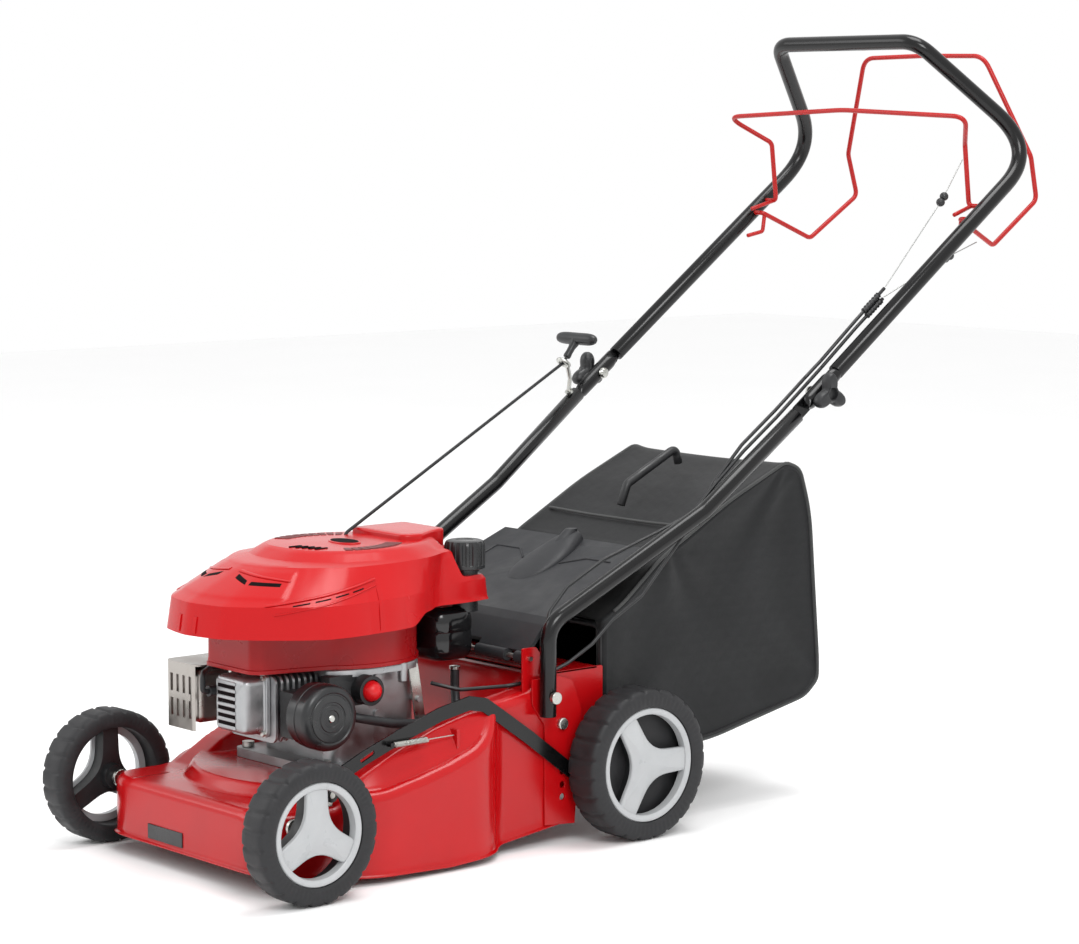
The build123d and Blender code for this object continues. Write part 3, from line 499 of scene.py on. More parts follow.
def swept(name, path, radius, body, material, replaces=(), sides=20, flat=None, cap=0.6):
    """A circle carried along a path by parallel transport, its ends closed and slightly
    rounded. flat may give a factor on the radius at each path point."""
    p = np.asarray(path, float)
    keep = np.r_[True, np.linalg.norm(np.diff(p, axis=0), axis=1) > 1e-4]
    p = p[keep]
    tangent = np.gradient(p, axis=0)
    tangent /= np.linalg.norm(tangent, axis=1)[:, None]
    normal = np.cross(tangent[0], [0.13, 0.31, 0.94])
    frames = []
    for t in tangent:
        normal = normal - t * np.dot(normal, t)
        normal /= np.linalg.norm(normal)
        frames.append(normal)
    n = np.array(frames)
    b = np.cross(tangent, n)
    r = np.full(len(p), float(radius))
    if flat is not None:
        r = r * np.asarray(flat)[keep]
    p = np.concatenate([p[:1], p[:1] + tangent[:1] * cap, p[1:-1],
                        p[-1:] - tangent[-1:] * cap, p[-1:]])
    pick = np.r_[0, 0, 1:len(r) - 1, len(r) - 1, len(r) - 1]
    r, n, b = r[pick], n[pick], b[pick]
    r[0] -= min(cap, r[0] * 0.4)
    r[-1] -= min(cap, r[-1] * 0.4)
    a = np.linspace(0, 2 * math.pi, sides, endpoint=False)
    rings = (p[:, None] + r[:, None, None] * (n[:, None] * np.cos(a)[None, :, None]
             + b[:, None] * np.sin(a)[None, :, None]))
    rings = np.concatenate([np.repeat(p[:1, None], sides, 1), rings,
                            np.repeat(p[-1:, None], sides, 1)])
    return place_mesh(name, rings, grid_faces(len(p) + 2, sides, False, True), body, material,
                      replaces, 50)


def bends(points, radii, steps=10):
    """An open path through the points whose corners are arcs of the given radii. A corner
    that turns by an angle is cut back by the radius times the tangent of half of it."""
    p = np.asarray(points, float)
    cut = [0.0]
    for i in range(1, len(p) - 1):
        a, b = p[i - 1] - p[i], p[i + 1] - p[i]
        turn = math.pi - math.acos(np.clip(a @ b / np.linalg.norm(a) / np.linalg.norm(b), -1, 1))
        cut.append(radii[i - 1] * math.tan(turn / 2))
    return rounded(p, cut + [0.0], steps, False)


def mirrored(points):
    """The same points on the other side of the machine, in the opposite order."""
    return [(-x, y, z) for x, y, z in points][::-1]


TUBE_R = 11
LAP_ROWS, LAP_SIDES = 18, 28
FOLD, BEND, TOP_CORNER = (226.5, 311, 572), (226, 752, 897), (140, 588, 1050)
FOLD_LINE = (np.array(BEND) - FOLD) / np.linalg.norm(np.array(BEND) - FOLD)
LEG = [(187.4, -134, 174), (188, -134, 293), (218, 110, 424), tuple(FOLD + FOLD_LINE * -48)]


def lap(name, start, end, low, high, body):
    """The flattened end of a tube: half of its round section, from start to end past the
    fold pivot, with a rounded tip. Its flat side lies at low or high in X."""
    span = np.linspace(start, end, LAP_ROWS)
    into_tip = np.abs(span - (start + end) / 2) - (end - start) / 2 + TUBE_R
    tip = np.sqrt(np.clip(1 - np.clip(into_tip / TUBE_R, 0, 1) ** 2, 0.02, 1))
    a = np.linspace(0, 2 * math.pi, LAP_SIDES, endpoint=False)
    across = TUBE_R * np.cos(a)[None, :] * tip[:, None]
    x = np.clip(FOLD[0] + TUBE_R * np.sin(a)[None, :] * np.ones((LAP_ROWS, 1)), low, high)
    up = np.array([0, -FOLD_LINE[2], FOLD_LINE[1]])
    centre = np.array(FOLD) + FOLD_LINE * span[:, None]
    rings = centre[:, None] + up * across[..., None]
    rings[..., 0] = x
    rings = np.concatenate([rings[:1].mean(1, keepdims=True).repeat(LAP_SIDES, 1), rings,
                            rings[-1:].mean(1, keepdims=True).repeat(LAP_SIDES, 1)])
    for hand, sign in SIDES:
        place_mesh(f"{hand}_{name}", rings * [sign, 1, 1],
                   grid_faces(LAP_ROWS + 2, LAP_SIDES, False, True), body, BLACK_ENAMEL,
                   (), 40)


ZINC = finish("zinc_plated_steel", "c9c9c4", "a3a49f", 0.3, 25, 1.2, 0.02, [("Metallic", 1.0)])
BLACK_ENAMEL = finish("black_enamelled_tube", "0a0a0b", "050506", 0.2, 120, 6, 0.004,
                      [("Specular IOR Level", 0.38)], 0.04)
leg_path = bends(LEG, [40, 60], 14)
for hand, sign in SIDES:
    swept(f"{hand}_lower_leg", leg_path * [sign, 1, 1], TUBE_R, "chassis", BLACK_ENAMEL,
          ("lower_handles",) if hand == "left" else (), 32)
lap("lower_lap", -52, 35, 215.6, 225.7, "chassis")
bow = [tuple(FOLD + FOLD_LINE * 43), BEND, TOP_CORNER]
swept("handle_bow", bends(bow + mirrored(bow), [70, 40, 40, 70], 16), TUBE_R, "upper_handle",
      BLACK_ENAMEL, ("upper_handle",), 32)
lap("upper_lap", -30, 47, 226.3, 237.4, "upper_handle")

# ---- Star knobs ------------------------------------------------------------------------
# Three-lobed clamping knobs, moulded in black nylon over a carriage bolt, with a hollow
# face and a waist under the lobes.
BLACK_NYLON = finish("moulded_black_nylon", "202123", "151617", 0.42, 25, 1.2, 0.06)


def lobed(radius, lobe, count, first, points=96):
    """A round outline whose radius swells into lobes: radius plus lobe times a cosine."""
    a = np.linspace(0, 2 * math.pi, points, endpoint=False)
    r = radius + lobe * np.cos(count * (a - first))
    return np.column_stack([r * np.cos(a), r * np.sin(a)])


for hand, sign in SIDES:
    def knob_frame(p, sign=sign):
        return np.stack([sign * p[:, 2], FOLD[1] + p[:, 0], FOLD[2] + p[:, 1]], 1)

    star = lobed(20.5, 8.4, 3, math.pi / 2)
    rings = [at_height(shrunk(star, d), h)
             for d, h in ((8, 238), (7, 241), (2.5, 243), (0.6, 246), (0, 249), (0.4, 254),
                          (2.4, 257.4), (4.5, 258))]
    rings += discs([(258.4, 10), (257.6, 8.6), (254, 7.8), (252.6, 7), (252.4, 3)])
    moulded(f"{hand}_clamp_knob", rings, knob_frame, f"{hand}_star_knob", BLACK_NYLON,
            (f"{hand}_star_knob",))
    turned(f"{hand}_clamp_bolt", [(209, 0.3), (209.6, 5.6), (211.5, 7.6), (214.6, 8), (214.6, 4),
                                  (238.5, 4), (238.5, 0.3)], 40,
           (1e-6 * sign, FOLD[1], FOLD[2]), f"{hand}_star_knob", ZINC)

# ---- Bails -----------------------------------------------------------------------------
# Two bars of 7 mm wire, powder coated red: the inner one stops the engine when it is let
# go, and the outer one drives the wheels. Their ends are sprung into holes in the tube.
RED_POWDER = finish("red_powder_coat_wire", "b01512", "9a100e", 0.3, 60, 3, 0.005,
                    [("Specular IOR Level", 0.35)], 0.05)


CROWN_RADIUS = 400


def bail(name, half, radii, crown, tail):
    """A bent wire from its left half, its middle point and the hooked tail of each end."""
    path = bends(half + [crown] + mirrored(half), radii + [CROWN_RADIUS] + radii[::-1], 10)
    swept(name + "_wire", path, 3.5, name, RED_POWDER, (name,), 16)
    for hand, sign in SIDES:
        swept(f"{name}_{hand}_hook", bends(np.array(tail) * [sign, 1, 1], [5] * (len(tail) - 2), 6),
              3, name, RED_POWDER, (), 14)


bail("stop_bail", [(228, 642, 818), (196, 642, 818), (196, 632, 905), (242, 583, 944)],
     [8, 12, 14], (0, 583, 954), [(201, 642, 818), (206, 600, 806)])
bail("drive_bail", [(228, 618, 800), (200, 618, 800), (186, 705, 760), (182, 802, 824),
                    (185, 785, 887), (120, 752, 1032)],
     [8, 12, 14, 25, 30], (0, 752, 1034), [(200, 622, 798), (200, 618, 772), (204, 590, 766)])

# ---- Control cables --------------------------------------------------------------------
# Steel wire in a black sheath, one for the engine brake and one for the drive. They are
# held along the left leg by ties, and bare wire runs from the sheath to each bail.
SHEATH = finish("extruded_cable_sheath", "1c1d1f", "121314", 0.4, 20, 1.2, 0.03)
BARE_WIRE = finish("stranded_steel_wire", "b9bab8", "8d8e8c", 0.35, 8, 0.8, 0.02,
                   [("Metallic", 1.0)])
CABLE_R = 2.5


def cable(name, path, body, replaces=()):
    """One sheathed cable along its path."""
    return swept(name, path, CABLE_R, body, SHEATH, replaces, 12)


drive_low = [(213, 304, 583), (211, 250, 541), (210, 190, 499), (208, 140, 458), (204, 102, 421),
             (186, 54, 397), (166, -21, 366), (156, -75, 334), (156, -104, 305), (162, -120, 272),
             (168, -126, 225)]
stop_low = [(211, 302, 591), (208, 250, 550), (206, 190, 507), (204, 142, 460), (204, 108, 414),
            (196, 58, 356), (190, 24, 316), (184, -22, 288), (178, -52, 258), (168, -84, 236),
            (150, -129, 214), (135, -161, 210), (118, -225, 210), (98, -256, 220)]
cable("drive_cable", bends(drive_low, [30] * 7 + [20, 12], 8), "chassis", ("lower_cables",))
cable("stop_cable", bends(stop_low, [30] * 12, 8), "chassis")
drive_high = [(213, 332, 604), (212, 400, 656), (212, 452, 694)]
stop_high = [(211, 334, 614), (210, 400, 665), (209, 458, 708)]
cable("drive_cable_upper", bends(drive_high, [200], 8), "upper_handle", ("upper_cables",))
cable("stop_cable_upper", bends(stop_high, [200], 8), "upper_handle")
for name, low, high in (("drive", drive_high[0], drive_low[0]),
                        ("stop", stop_high[0], stop_low[0])):
    bridge = cable(name + "_cable_at_fold", np.linspace(low, high, 12), None)
    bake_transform(bridge)
for name, a, b, r in (("drive_adjuster", (212, 420, 670.6), (212, 448, 691), 4),
                      ("stop_adjuster", (209.7, 416, 677), (209.2, 446, 699), 4)):
    run = np.linspace(a, b, 30)
    swept(name, run, r, "upper_handle", SHEATH, (), 16,
          1 + 0.12 * np.sign(np.sin(np.arange(30) * 1.3)))
WIRES = (("drive_bail", [(212, 454, 696), (204, 590, 747), (191, 665, 766)], (204, 590, 747)),
         ("stop_bail", [(209, 460, 710), (202, 580, 828), (199, 624, 884)], (202, 580, 828)))
for name, run, bead in WIRES:
    path = bends(run, [60], 10)
    wire = swept(name + "_pull_wire", path, 0.8, None, BARE_WIRE,
                 ("bail_wires",) if name == "drive_bail" else (), 8)
    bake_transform(wire)
    line = np.array(run[-1]) - run[0]
    for k, shift in enumerate((-5.5, 5.5)):
        middle = path[np.argmin(np.linalg.norm(path - bead, axis=1))]
        middle = middle + line / np.linalg.norm(line) * shift
        a = np.linspace(0, math.pi, 12)
        ball = np.stack([-6.2 * np.cos(a), 6.2 * np.sin(a) + 0.05], 1)
        turned(f"{name}_bead_{k}", ball, 20, tuple(middle), "upper_handle", BLACK_NYLON)

# ---- Grass bag -------------------------------------------------------------------------
# A coated polyester weave sewn over a wire frame: taut along the frame's top edges, slack
# in its side panels and floor, with piped seams and a moulded collar round the mouth.
WEAVE_MM = 2.4  # the real thread is about 0.6 mm; drawn coarser so that it shows


def woven(name, light, dark, thread_mm, depth_mm):
    """A plain weave: two sets of threads, seen as crossed waves, over uneven folds."""
    made, tree, shader, place = start_material(
        name, [("Roughness", 0.6), ("Sheen Weight", 0.06), ("Specular IOR Level", 0.3)])
    folds_and_painted_shade = add(tree, "ShaderNodeTexNoise", [("Scale", 14.0), ("Detail", 5.0)],
                [("Vector", place, "Object")])
    # The colour follows the folds' height and is darker in their hollows: painted shade in the folds.
    tone = add(tree, "ShaderNodeMix",
               [("data_type", "RGBA"), (6, linear(dark)), (7, linear(light))], [(0, folds_and_painted_shade, 0)])
    tree.links.new(tone.outputs[2], shader.inputs["Base Color"])
    heights = []
    for direction in ("Z", "DIAGONAL"):
        heights.append(add(tree, "ShaderNodeTexWave",
                           [("bands_direction", direction), ("Scale", 1000 / thread_mm / 20),
                            ("Distortion", 0.4), ("Detail", 1.0)],
                           [("Vector", place, "Object")]))
    weave = add(tree, "ShaderNodeMath", [("operation", "MAXIMUM")],
                [(0, heights[0], 1), (1, heights[1], 1)])
    fine = add(tree, "ShaderNodeBump", [("Strength", 0.8), ("Distance", depth_mm / 1000)],
               [("Height", weave, 0)])
    wide = add(tree, "ShaderNodeBump", [("Strength", 0.5), ("Distance", 0.004)],
               [("Height", folds_and_painted_shade, 0), ("Normal", fine, 0)])
    tree.links.new(wide.outputs[0], shader.inputs["Normal"])
    return made


BAG_CLOTH = woven("coated_polyester_weave", "18191b", "0b0c0d", WEAVE_MM, 0.35)
PIPING = woven("bound_seam_tape", "4a4b4a", "2b2c2d", 1.6, 0.2)
BAG_HALF = 160.0
BAG_EDGE_R = 9  # how round the bag is from its side to its top and back
SIDE_SLACK = 7.0
SIDE_POINTS = 200  # points along the side's outline, from the mouth's foot round to its top
PANEL_ROWS, ACROSS_ROWS = 15, 44
BAG_SIDE = [(-16, 283), (20, 303), (85, 355), (106, 368), (216, 427), (322, 472), (350, 461),
            (370, 400), (388, 190), (388, 160), (364, 139), (170, 98), (90, 101), (-16, 117)]
side_line = evenly(rounded(BAG_SIDE, [0, 10, 8, 10, 30, 10, 12, 40, 20, 8, 14, 50, 30, 0], 6,
                           False), SIDE_POINTS)
MOUTH = 30
side_line = np.concatenate([side_line, np.linspace(side_line[-1], side_line[0], MOUTH + 2)[1:-1]])
middle = np.array([180.0, 270.0])


def creases(y, z, x):
    """Slack in the cloth: long diagonal folds that fan from the corners, and small ripples."""
    fold = 0
    for cy, cz, turn, waves in ((322, 472, 0.4, 9.0), (389, 170, 1.9, 7.0), (-16, 120, 3.0, 8.0),
                                (106, 368, 5.0, 6.0)):
        away = np.hypot(y - cy, z - cz)
        angle = np.arctan2(z - cz, y - cy)
        fold = fold + np.sin(angle * waves + turn + x * 0.004) * np.exp(-away / 150) * 4.4
    return fold + 0.9 * np.sin(y * 0.045 + z * 0.03) + 0.7 * np.sin(z * 0.06 - x * 0.03)


def bag_panel_rows():
    """Rows of points: the side panel from its middle out, across the bag, and back in."""
    rows = []
    toward = (middle - side_line) / np.linalg.norm(middle - side_line, axis=1)[:, None]
    for share in (0.0, 0.04, 0.12, 0.25, 0.4, 0.55, 0.7, 0.82, 0.91, 0.965):
        p = middle + (side_line - middle) * share
        sag = SIDE_SLACK * (1 - share ** 2)
        x = BAG_HALF - 3 - sag + creases(p[:, 0], p[:, 1], 0) * min(1, (1 - share) * 5)
        rows.append(np.column_stack([np.minimum(x, BAG_HALF - 1), p]))
    for a in np.linspace(0, math.pi / 2, 5):
        p = side_line + toward * BAG_EDGE_R * (1 - math.sin(a))
        x = BAG_HALF - BAG_EDGE_R + BAG_EDGE_R * math.cos(a)
        rows.append(np.column_stack([np.full(len(p), x), p]))
    flat = BAG_HALF - 2 * BAG_EDGE_R
    for x in np.linspace(flat, -flat, ACROSS_ROWS):
        across = 1 - (x / BAG_HALF) ** 2
        taut = np.clip((side_line[:, 1] - 300) / 60, 0, 1)
        sag = across * (3.5 + 2 * (1 - taut)) + (1 - 0.6 * taut) * np.abs(
            creases(side_line[:, 0], side_line[:, 1], x)) * min(1, across * 3)
        rows.append(np.column_stack([np.full(len(side_line), x),
                                     side_line + toward * sag[:, None]]))
    return rows


half_rows = bag_panel_rows()
flipped = [row * [-1, 1, 1] for row in half_rows[PANEL_ROWS - 1::-1]]
bag_rows = np.stack(half_rows + flipped)
around_bag = bag_rows.shape[1]
bag_faces = []
for face in grid_faces(len(bag_rows), around_bag, False, True):
    row, column = divmod(face[0], around_bag)
    between_sides = PANEL_ROWS <= row <= PANEL_ROWS + ACROSS_ROWS - 2
    if column < SIDE_POINTS - 1 or not between_sides:
        bag_faces.append(face)
bag = place_mesh("bag_cloth", bag_rows, bag_faces, "grass_bag", BAG_CLOTH,
                 ("bag_shell", "bag_frame"), 60)
wall = bag.modifiers.new("cloth_thickness", "SOLIDIFY")
wall.thickness, wall.offset = 0.0018, -1
smooth = bag.modifiers.new("cloth_smoothing", "SUBSURF")
smooth.levels = smooth.render_levels = 1
for hand, sign in SIDES:
    seam = side_line[4:SIDE_POINTS - 4]
    inward = (middle - seam) / np.linalg.norm(middle - seam, axis=1)[:, None]
    edge = np.column_stack([np.full(len(seam), sign * (BAG_HALF - 3.2)), seam + inward * 1.6])
    swept(f"bag_{hand}_piping", edge, 2.4, "grass_bag", PIPING, (), 10)
hem = [(-146, 150, 393.5), (-60, 150, 391.5), (60, 150, 391.5), (146, 150, 393.5)]
swept("bag_top_hem", bends(hem, [60, 60], 10), 2.0, "grass_bag", PIPING, (), 10)
collar = rounded([(-152, -12, 124), (152, -12, 124), (152, -12, 276), (-152, -12, 276)], 16, 8)
collar = np.concatenate([collar, collar[:1]])
swept("bag_collar", collar, 4.5, "grass_bag", BLACK_NYLON, (), 14)
swept("bag_carry_handle", bends([(0, 156, 409), (0, 168, 438), (0, 258, 482), (0, 264, 460)],
                                [12, 12], 10), 6, "grass_bag", BLACK_NYLON,
      ("bag_handle",), 20)

# ---- Engine cover ----------------------------------------------------------------------
# One gloss red ABS moulding over the fan and the starter: a drafted skirt, a faceted bonnet
# with vents in its nose, a raised crown with grilles, and a well for the filler cap behind.
CAP = np.array([55.0, -165.0])
FOOT = [(0, -569), (60, -556), (105, -516), (149, -455), (148, -375), (136, -311), (120, -280),
        (85, -235), (78, -138), (0, -136)]
SHOULDER = [(0, -562), (60, -549), (104, -508), (143, -453), (143, -375), (132, -311),
            (117, -278), (83, -235), (75, -141), (0, -139)]
BROW = [(0, -478), (46, -468), (80, -444), (112, -405), (118, -355), (114, -305), (103, -262),
        (78, -218), (62, -172), (0, -168)]
CROWN_FOOT = [(0, -440), (36, -437), (72, -421), (101, -388), (111, -340), (107, -290),
              (92, -252), (66, -212), (50, -180), (0, -176)]
CROWN_TOP = [(0, -420), (30, -420), (60, -406), (86, -375), (96, -335), (92, -290), (76, -256),
             (50, -222), (36, -202), (0, -198)]


def around(half, count=360, radius=12):
    """A half outline closed on the other side, its corners rounded, as a distance from the
    crank for evenly spread angles."""
    whole = half + [(-x, y) for x, y in half[::-1] if x]
    p = rounded(whole, radius, 6) - CRANK
    angle = np.unwrap(np.arctan2(p[:, 1], p[:, 0]))
    order = np.argsort(angle)
    wanted = np.linspace(-math.pi, math.pi, count, endpoint=False)
    return np.interp(wanted, angle[order], np.hypot(p[:, 0], p[:, 1])[order],
                     period=2 * math.pi), wanted


COVER_FOOT_Z = 303
COVER_HEIGHTS = np.concatenate(
    [[303, 303.6, 306, 310, 315, 320, 325, 330, 335, 339, 341.8, 343, 344.2, 347],
     np.linspace(350, 381, 18), [383, 384, 385.2, 387.5, 388.4, 391], np.linspace(393, 397, 4),
     [398.2, 399]])
INNER_LEVELS = 20  # levels that the cover's inner skin follows


def cover_rings():
    """Rings from the foot to the crown, blended between the outlines in turn."""
    levels = [(COVER_FOOT_Z, FOOT), (343, SHOULDER), (384, BROW), (387.5, CROWN_FOOT), (399, CROWN_TOP)]
    radii = np.array([around(half)[0] for _, half in levels])
    angle = around(FOOT)[1]
    height = np.array([h for h, _ in levels], float)
    at = COVER_HEIGHTS
    r = np.stack([np.array([np.interp(h, height, row) for row in radii.T]) for h in at])
    r[-1] -= 1.6
    r[-2] -= 0.5
    nose = 1 - ease(33, 35, np.abs(np.degrees(angle) + 90))
    r += 2.2 * nose * (ease(350, 353, at) - ease(379, 382, at))[:, None]
    z = np.repeat(at[:, None], len(angle), 1)
    raised = COVER_FOOT_Z + 13 * (ease(8, 26, np.degrees(angle)) - ease(154, 172, np.degrees(angle)))
    z = np.where(z < 320, raised + (z - COVER_FOOT_Z) * (320 - raised) / 17, z)
    rows = np.stack([CRANK[0] + r * np.cos(angle), CRANK[1] + r * np.sin(angle), z], -1)
    crown = []
    for share in (0.985, 0.95, 0.85, 0.6, 0.3, 0.1):
        ring = rows[-1].copy()
        ring[:, :2] = CRANK + (ring[:, :2] - CRANK) * share
        ring[:, 2] += 0.6 + 1.4 * (1 - share)
        crown.append(ring)
    rows = np.concatenate([rows, np.stack(crown)])
    away = np.hypot(rows[..., 0] - CAP[0], rows[..., 1] - CAP[1])
    rows[..., 2] = np.minimum(rows[..., 2], 349 + np.clip(away - 32, 0, None) * 5)
    return rows


RED_ABS = finish("gloss_moulded_red_abs", "b90b10", "ad090e", 0.24, 160, 4, 0.008,
                 [("Specular IOR Level", 0.28)], 0.04)
# This near black is painted shade inside the nose vents, the louvre's slots, the crown's slots and the
# rocker cover's recess, and also the real black of the oval badge.
VENT_SHADE_AND_BADGE_BLACK = finish("painted_vent_shade_and_badge_black", "12090a", "080405", 0.85, 20, 1, 0.02,
                    [("Specular IOR Level", 0.1)])
rings = cover_rings()
inner = rings[:INNER_LEVELS][::-1].copy()
inner[..., :2] = CRANK + (inner[..., :2] - CRANK) * 0.975
inner[..., 2] = np.maximum(inner[..., 2] - 2.5, rings[0, :, 2])
moulded("engine_cover_moulding", np.concatenate([inner, rings]), in_place, "chassis",
        RED_ABS, ("engine_cover",), 24)


def on_cover(degrees, height, lift):
    """The point of the cover's skin at a bearing round the crank and a height."""
    columns = rings.shape[1]
    place = (degrees + 180) / 360 * columns
    low, share = int(place) % columns, place - int(place)
    skin = rings[:len(COVER_HEIGHTS)]
    reach = [np.interp(height, skin[:, c, 2], np.hypot(*(skin[:, c, :2] - CRANK).T))
             for c in (low, (low + 1) % columns)]
    r = reach[0] * (1 - share) + reach[1] * share + lift
    turn = math.radians(degrees)
    return [CRANK[0] + r * math.cos(turn), CRANK[1] + r * math.sin(turn), height]


def cover_patch(name, corners, lift, material, steps=24):
    """A thin pad moulded to the skin between four corners, given as (bearing, height) in
    order round the pad, and the same pad on the other side."""
    a, b, c, d = np.array(corners, float)
    sections = []
    for u in np.linspace(0, 1, steps):
        low, high = a + (b - a) * u, d + (c - d) * u
        edge = [low + (high - low) * v for v in np.linspace(0, 1, 5)]
        sections.append([on_cover(*p, lift - 0.4 * (k in (0, 4))) for k, p in enumerate(edge)]
                        + [on_cover(*p, -0.8) for p in edge[::-1]])
    sections = np.array(sections)
    for hand, sign in SIDES:
        flip = sections * [sign, 1, 1]
        ends = [np.repeat(flip[k].mean(0)[None, None], flip.shape[1], 1) for k in (0, -1)]
        place_mesh(f"{name}_{hand}", np.concatenate([ends[0], flip, ends[1]]),
                   grid_faces(steps + 2, flip.shape[1], False, True), "chassis", material,
                   (), 40)


# The black pads in the nose vents here and in the side louvre's slots below are painted shade.
cover_patch("nose_vent_inner", [(-84, 375), (-76, 369.5), (-75, 365), (-83.5, 370.5)], 0.35,
            VENT_SHADE_AND_BADGE_BLACK)
cover_patch("nose_vent_outer", [(-73.5, 368.8), (-60, 368), (-60, 364), (-73.5, 364.8)], 0.35,
            VENT_SHADE_AND_BADGE_BLACK)
cover_patch("vent_brow", [(-86, 379.5), (-56.5, 371), (-56.5, 369.6), (-86, 377.5)], 2.2, RED_ABS)
cover_patch("side_louvre_lip", [(-61.5, 346), (-14, 370), (-14, 368), (-61.5, 343.6)], 2.4, RED_ABS)
cover_patch("side_louvre_sill", [(-58, 334), (-14, 362.5), (-14, 361.4), (-58, 332.4)], 1.8, RED_ABS)
for k in range(4):
    at = -52 + 8 * k
    cover_patch(f"side_louvre_slot_{k + 1}", [(at, 345 + 4 * k), (at + 6, 348 + 4 * k),
                (at + 6, 346.2 + 4 * k), (at, 343.2 + 4 * k)], 0.35, VENT_SHADE_AND_BADGE_BLACK, 8)
cover_patch("nose_notch", [(-86.6, 306), (-85, 306), (-85, 327), (-86.6, 327)], 1.6, RED_ABS, 6)
cover_patch("skirt_step", [(-14.5, 306), (-13.4, 306), (-13.4, 358), (-14.5, 358)], 1.0, RED_ABS, 6)
ledge = rounded([(-66, -262), (46, -262), (56, -238), (30, -196), (24, -172), (-66, -172)], 10, 6)
moulded("cover_rear_ledge", pillow(ledge, 385, 407, 3), in_place, "chassis", RED_ABS,
        (), 30)


def crown_pad(name, outline, base, top, edge, material):
    """A raised pad on the crown, from its outline in plan."""
    return moulded(name, pillow(np.asarray(outline, float), base, top, edge), in_place,
                   "chassis", material, (), 30)


def badge_oval(half_x, half_y):
    """An oval outline in plan, where the badge sits on the crown."""
    turn = np.linspace(0, 2 * math.pi, 72, endpoint=False)
    return np.column_stack([14 + half_x * np.cos(turn), -330 + half_y * np.sin(turn)])


crown_pad("badge_rim", badge_oval(27, 17), 398, 402.2, 1.2, RED_ABS)
crown_pad("blank_oval_badge", badge_oval(24, 14), 400, 402.9, 0.6, VENT_SHADE_AND_BADGE_BLACK)
# The black pads of the crown's slots are painted shade.
for k in range(5):
    x, y = 6 + 9.5 * k, -407 + 3.2 * k
    slot_plan = np.array([(x, y - 6), (x + 3.6, y - 5), (x + 3.6, y + 14), (x, y + 13)])
    crown_pad(f"crown_slot_{k + 1}", rounded(slot_plan, 1.6, 4), 398, 401.3, 0.3, VENT_SHADE_AND_BADGE_BLACK)
# The crown grilles' dark red pads are painted shade in their slots.
GRILLE_PAINTED_SHADE = finish("shadowed_red_grille", "6d090b", "4a0607", 0.5, 20, 1, 0.02)
for hand, sign in SIDES:
    for k in range(9):
        turned_by = math.radians(-24 + 8.0 * k)
        p = []
        for r, side in ((66, -3.0), (88, -3.0), (88, 3.0), (66, 3.0)):
            a = turned_by + math.radians(side * 1.05)
            p.append((sign * (CRANK[0] + r * math.cos(a)), CRANK[1] + r * math.sin(a)))
        crown_pad(f"crown_grille_{hand}_{k + 1}", rounded(np.array(p), 1.5, 4), 398, 400.7, 0.3,
                  GRILLE_PAINTED_SHADE)

# ---- Blower housing --------------------------------------------------------------------
# Deep drawn sheet under the cover that leads the fan's air forward over the cylinder. Semi
# gloss red enamel, darker than the deck's red as painted shade from the cover above, and
# bolted to a cast flange on the crankcase.
# This darker red is painted shade from the cover hanging over the housing.
SHADED_HOUSING_RED = finish("semi_gloss_red_enamel_painted_shade", "a50c11", "8a080d", 0.34, 50, 2, 0.02,
                  [("Specular IOR Level", 0.3)])
CAST = finish("sand_cast_alloy", "c3c4c5", "8b8d8f", 0.42, 26, 1.6, 0.16, [("Metallic", 0.9)], 0.16)
ZINC_BOLT = finish("zinc_plated_bolt", "cfcfca", "a3a49f", 0.3, 12, 0.9, 0.02, [("Metallic", 1.0)])
arc = np.radians(np.linspace(-38, 218, 120))
DRUM_R = 107
drum_arc = np.column_stack([DRUM_R * np.cos(arc), CRANK[1] + DRUM_R * np.sin(arc)])
duct = [(-72, -440), (-60, -492), (-48, -504), (48, -504), (60, -492), (72, -440)]
drum = round_plan(np.concatenate([drum_arc, duct]), 6, 300)
bands = [(251.2, -0.8), (251.4, 0.0), (256, 0.0), (256.8, -1.4), (262, -2.2), (300, -2.6),
         (302.3, -4.5)]
moulded("blower_housing_drawn", [at_height(shrunk(drum, -out), z) for z, out in bands], in_place,
        "chassis", SHADED_HOUSING_RED, ("blower_housing",), 30)
flange = round_plan([(-84, -408), (84, -408), (101, -385), (101, -290), (80, -258), (-80, -258),
                     (-101, -290), (-101, -385)], [10, 10, 18, 18, 18, 18, 18, 18], 200)
moulded("fan_flange_casting", pillow(flange, 242, 250.8, 2), in_place, "chassis", CAST,
        (), 30)


def hex_bolt(name, place, axis, size=4.5, depth=3.2, material=ZINC_BOLT, body="chassis"):
    """A hexagon head on its washer; depth is negative where the head points down the axis."""
    d = math.copysign(1, depth)
    moulded(name + "_washer", discs([(0, size * 1.25), (0.9 * d, size * 1.25)], 32),
            seat(place, axis), body, material, (), 30)
    moulded(name, discs([(0.9 * d, size), (depth - 0.5 * d, size), (depth, size * 0.86)], 6),
            seat(place, axis), body, material, (), 30)


for k, (x, y) in enumerate([(92, -372), (96, -300), (74, -268)]):
    hex_bolt(f"flange_bolt_{k + 1}", (x, y, 250.6), "Z", 4, 0.6)
    moulded(f"flange_lug_{k + 1}", discs([(226, 5), (228, 6.5), (250.7, 6.5)], 32),
            seat((x, y, 0), "Z"), "chassis", CAST, (), 30)

# ---- Crankcase, cylinder and rocker cover ----------------------------------------------
# Pressure cast aluminium with a sand blasted skin. The rocker cover has a bolted flange and
# a ribbed face; the cylinder is a stack of thin cooling fins.
for node, edge in (("engine_base", 0.8), ("crankcase", 1.6), ("cylinder", 0.5)):
    dressed(node, CAST, edge)


def frame_outline(x0, x1, z0, z1, radius):
    """A rounded rectangle in X and Z, as an even run of points."""
    return round_plan([(x0, z0), (x1, z0), (x1, z1), (x0, z1)], [radius] * 4, 160)


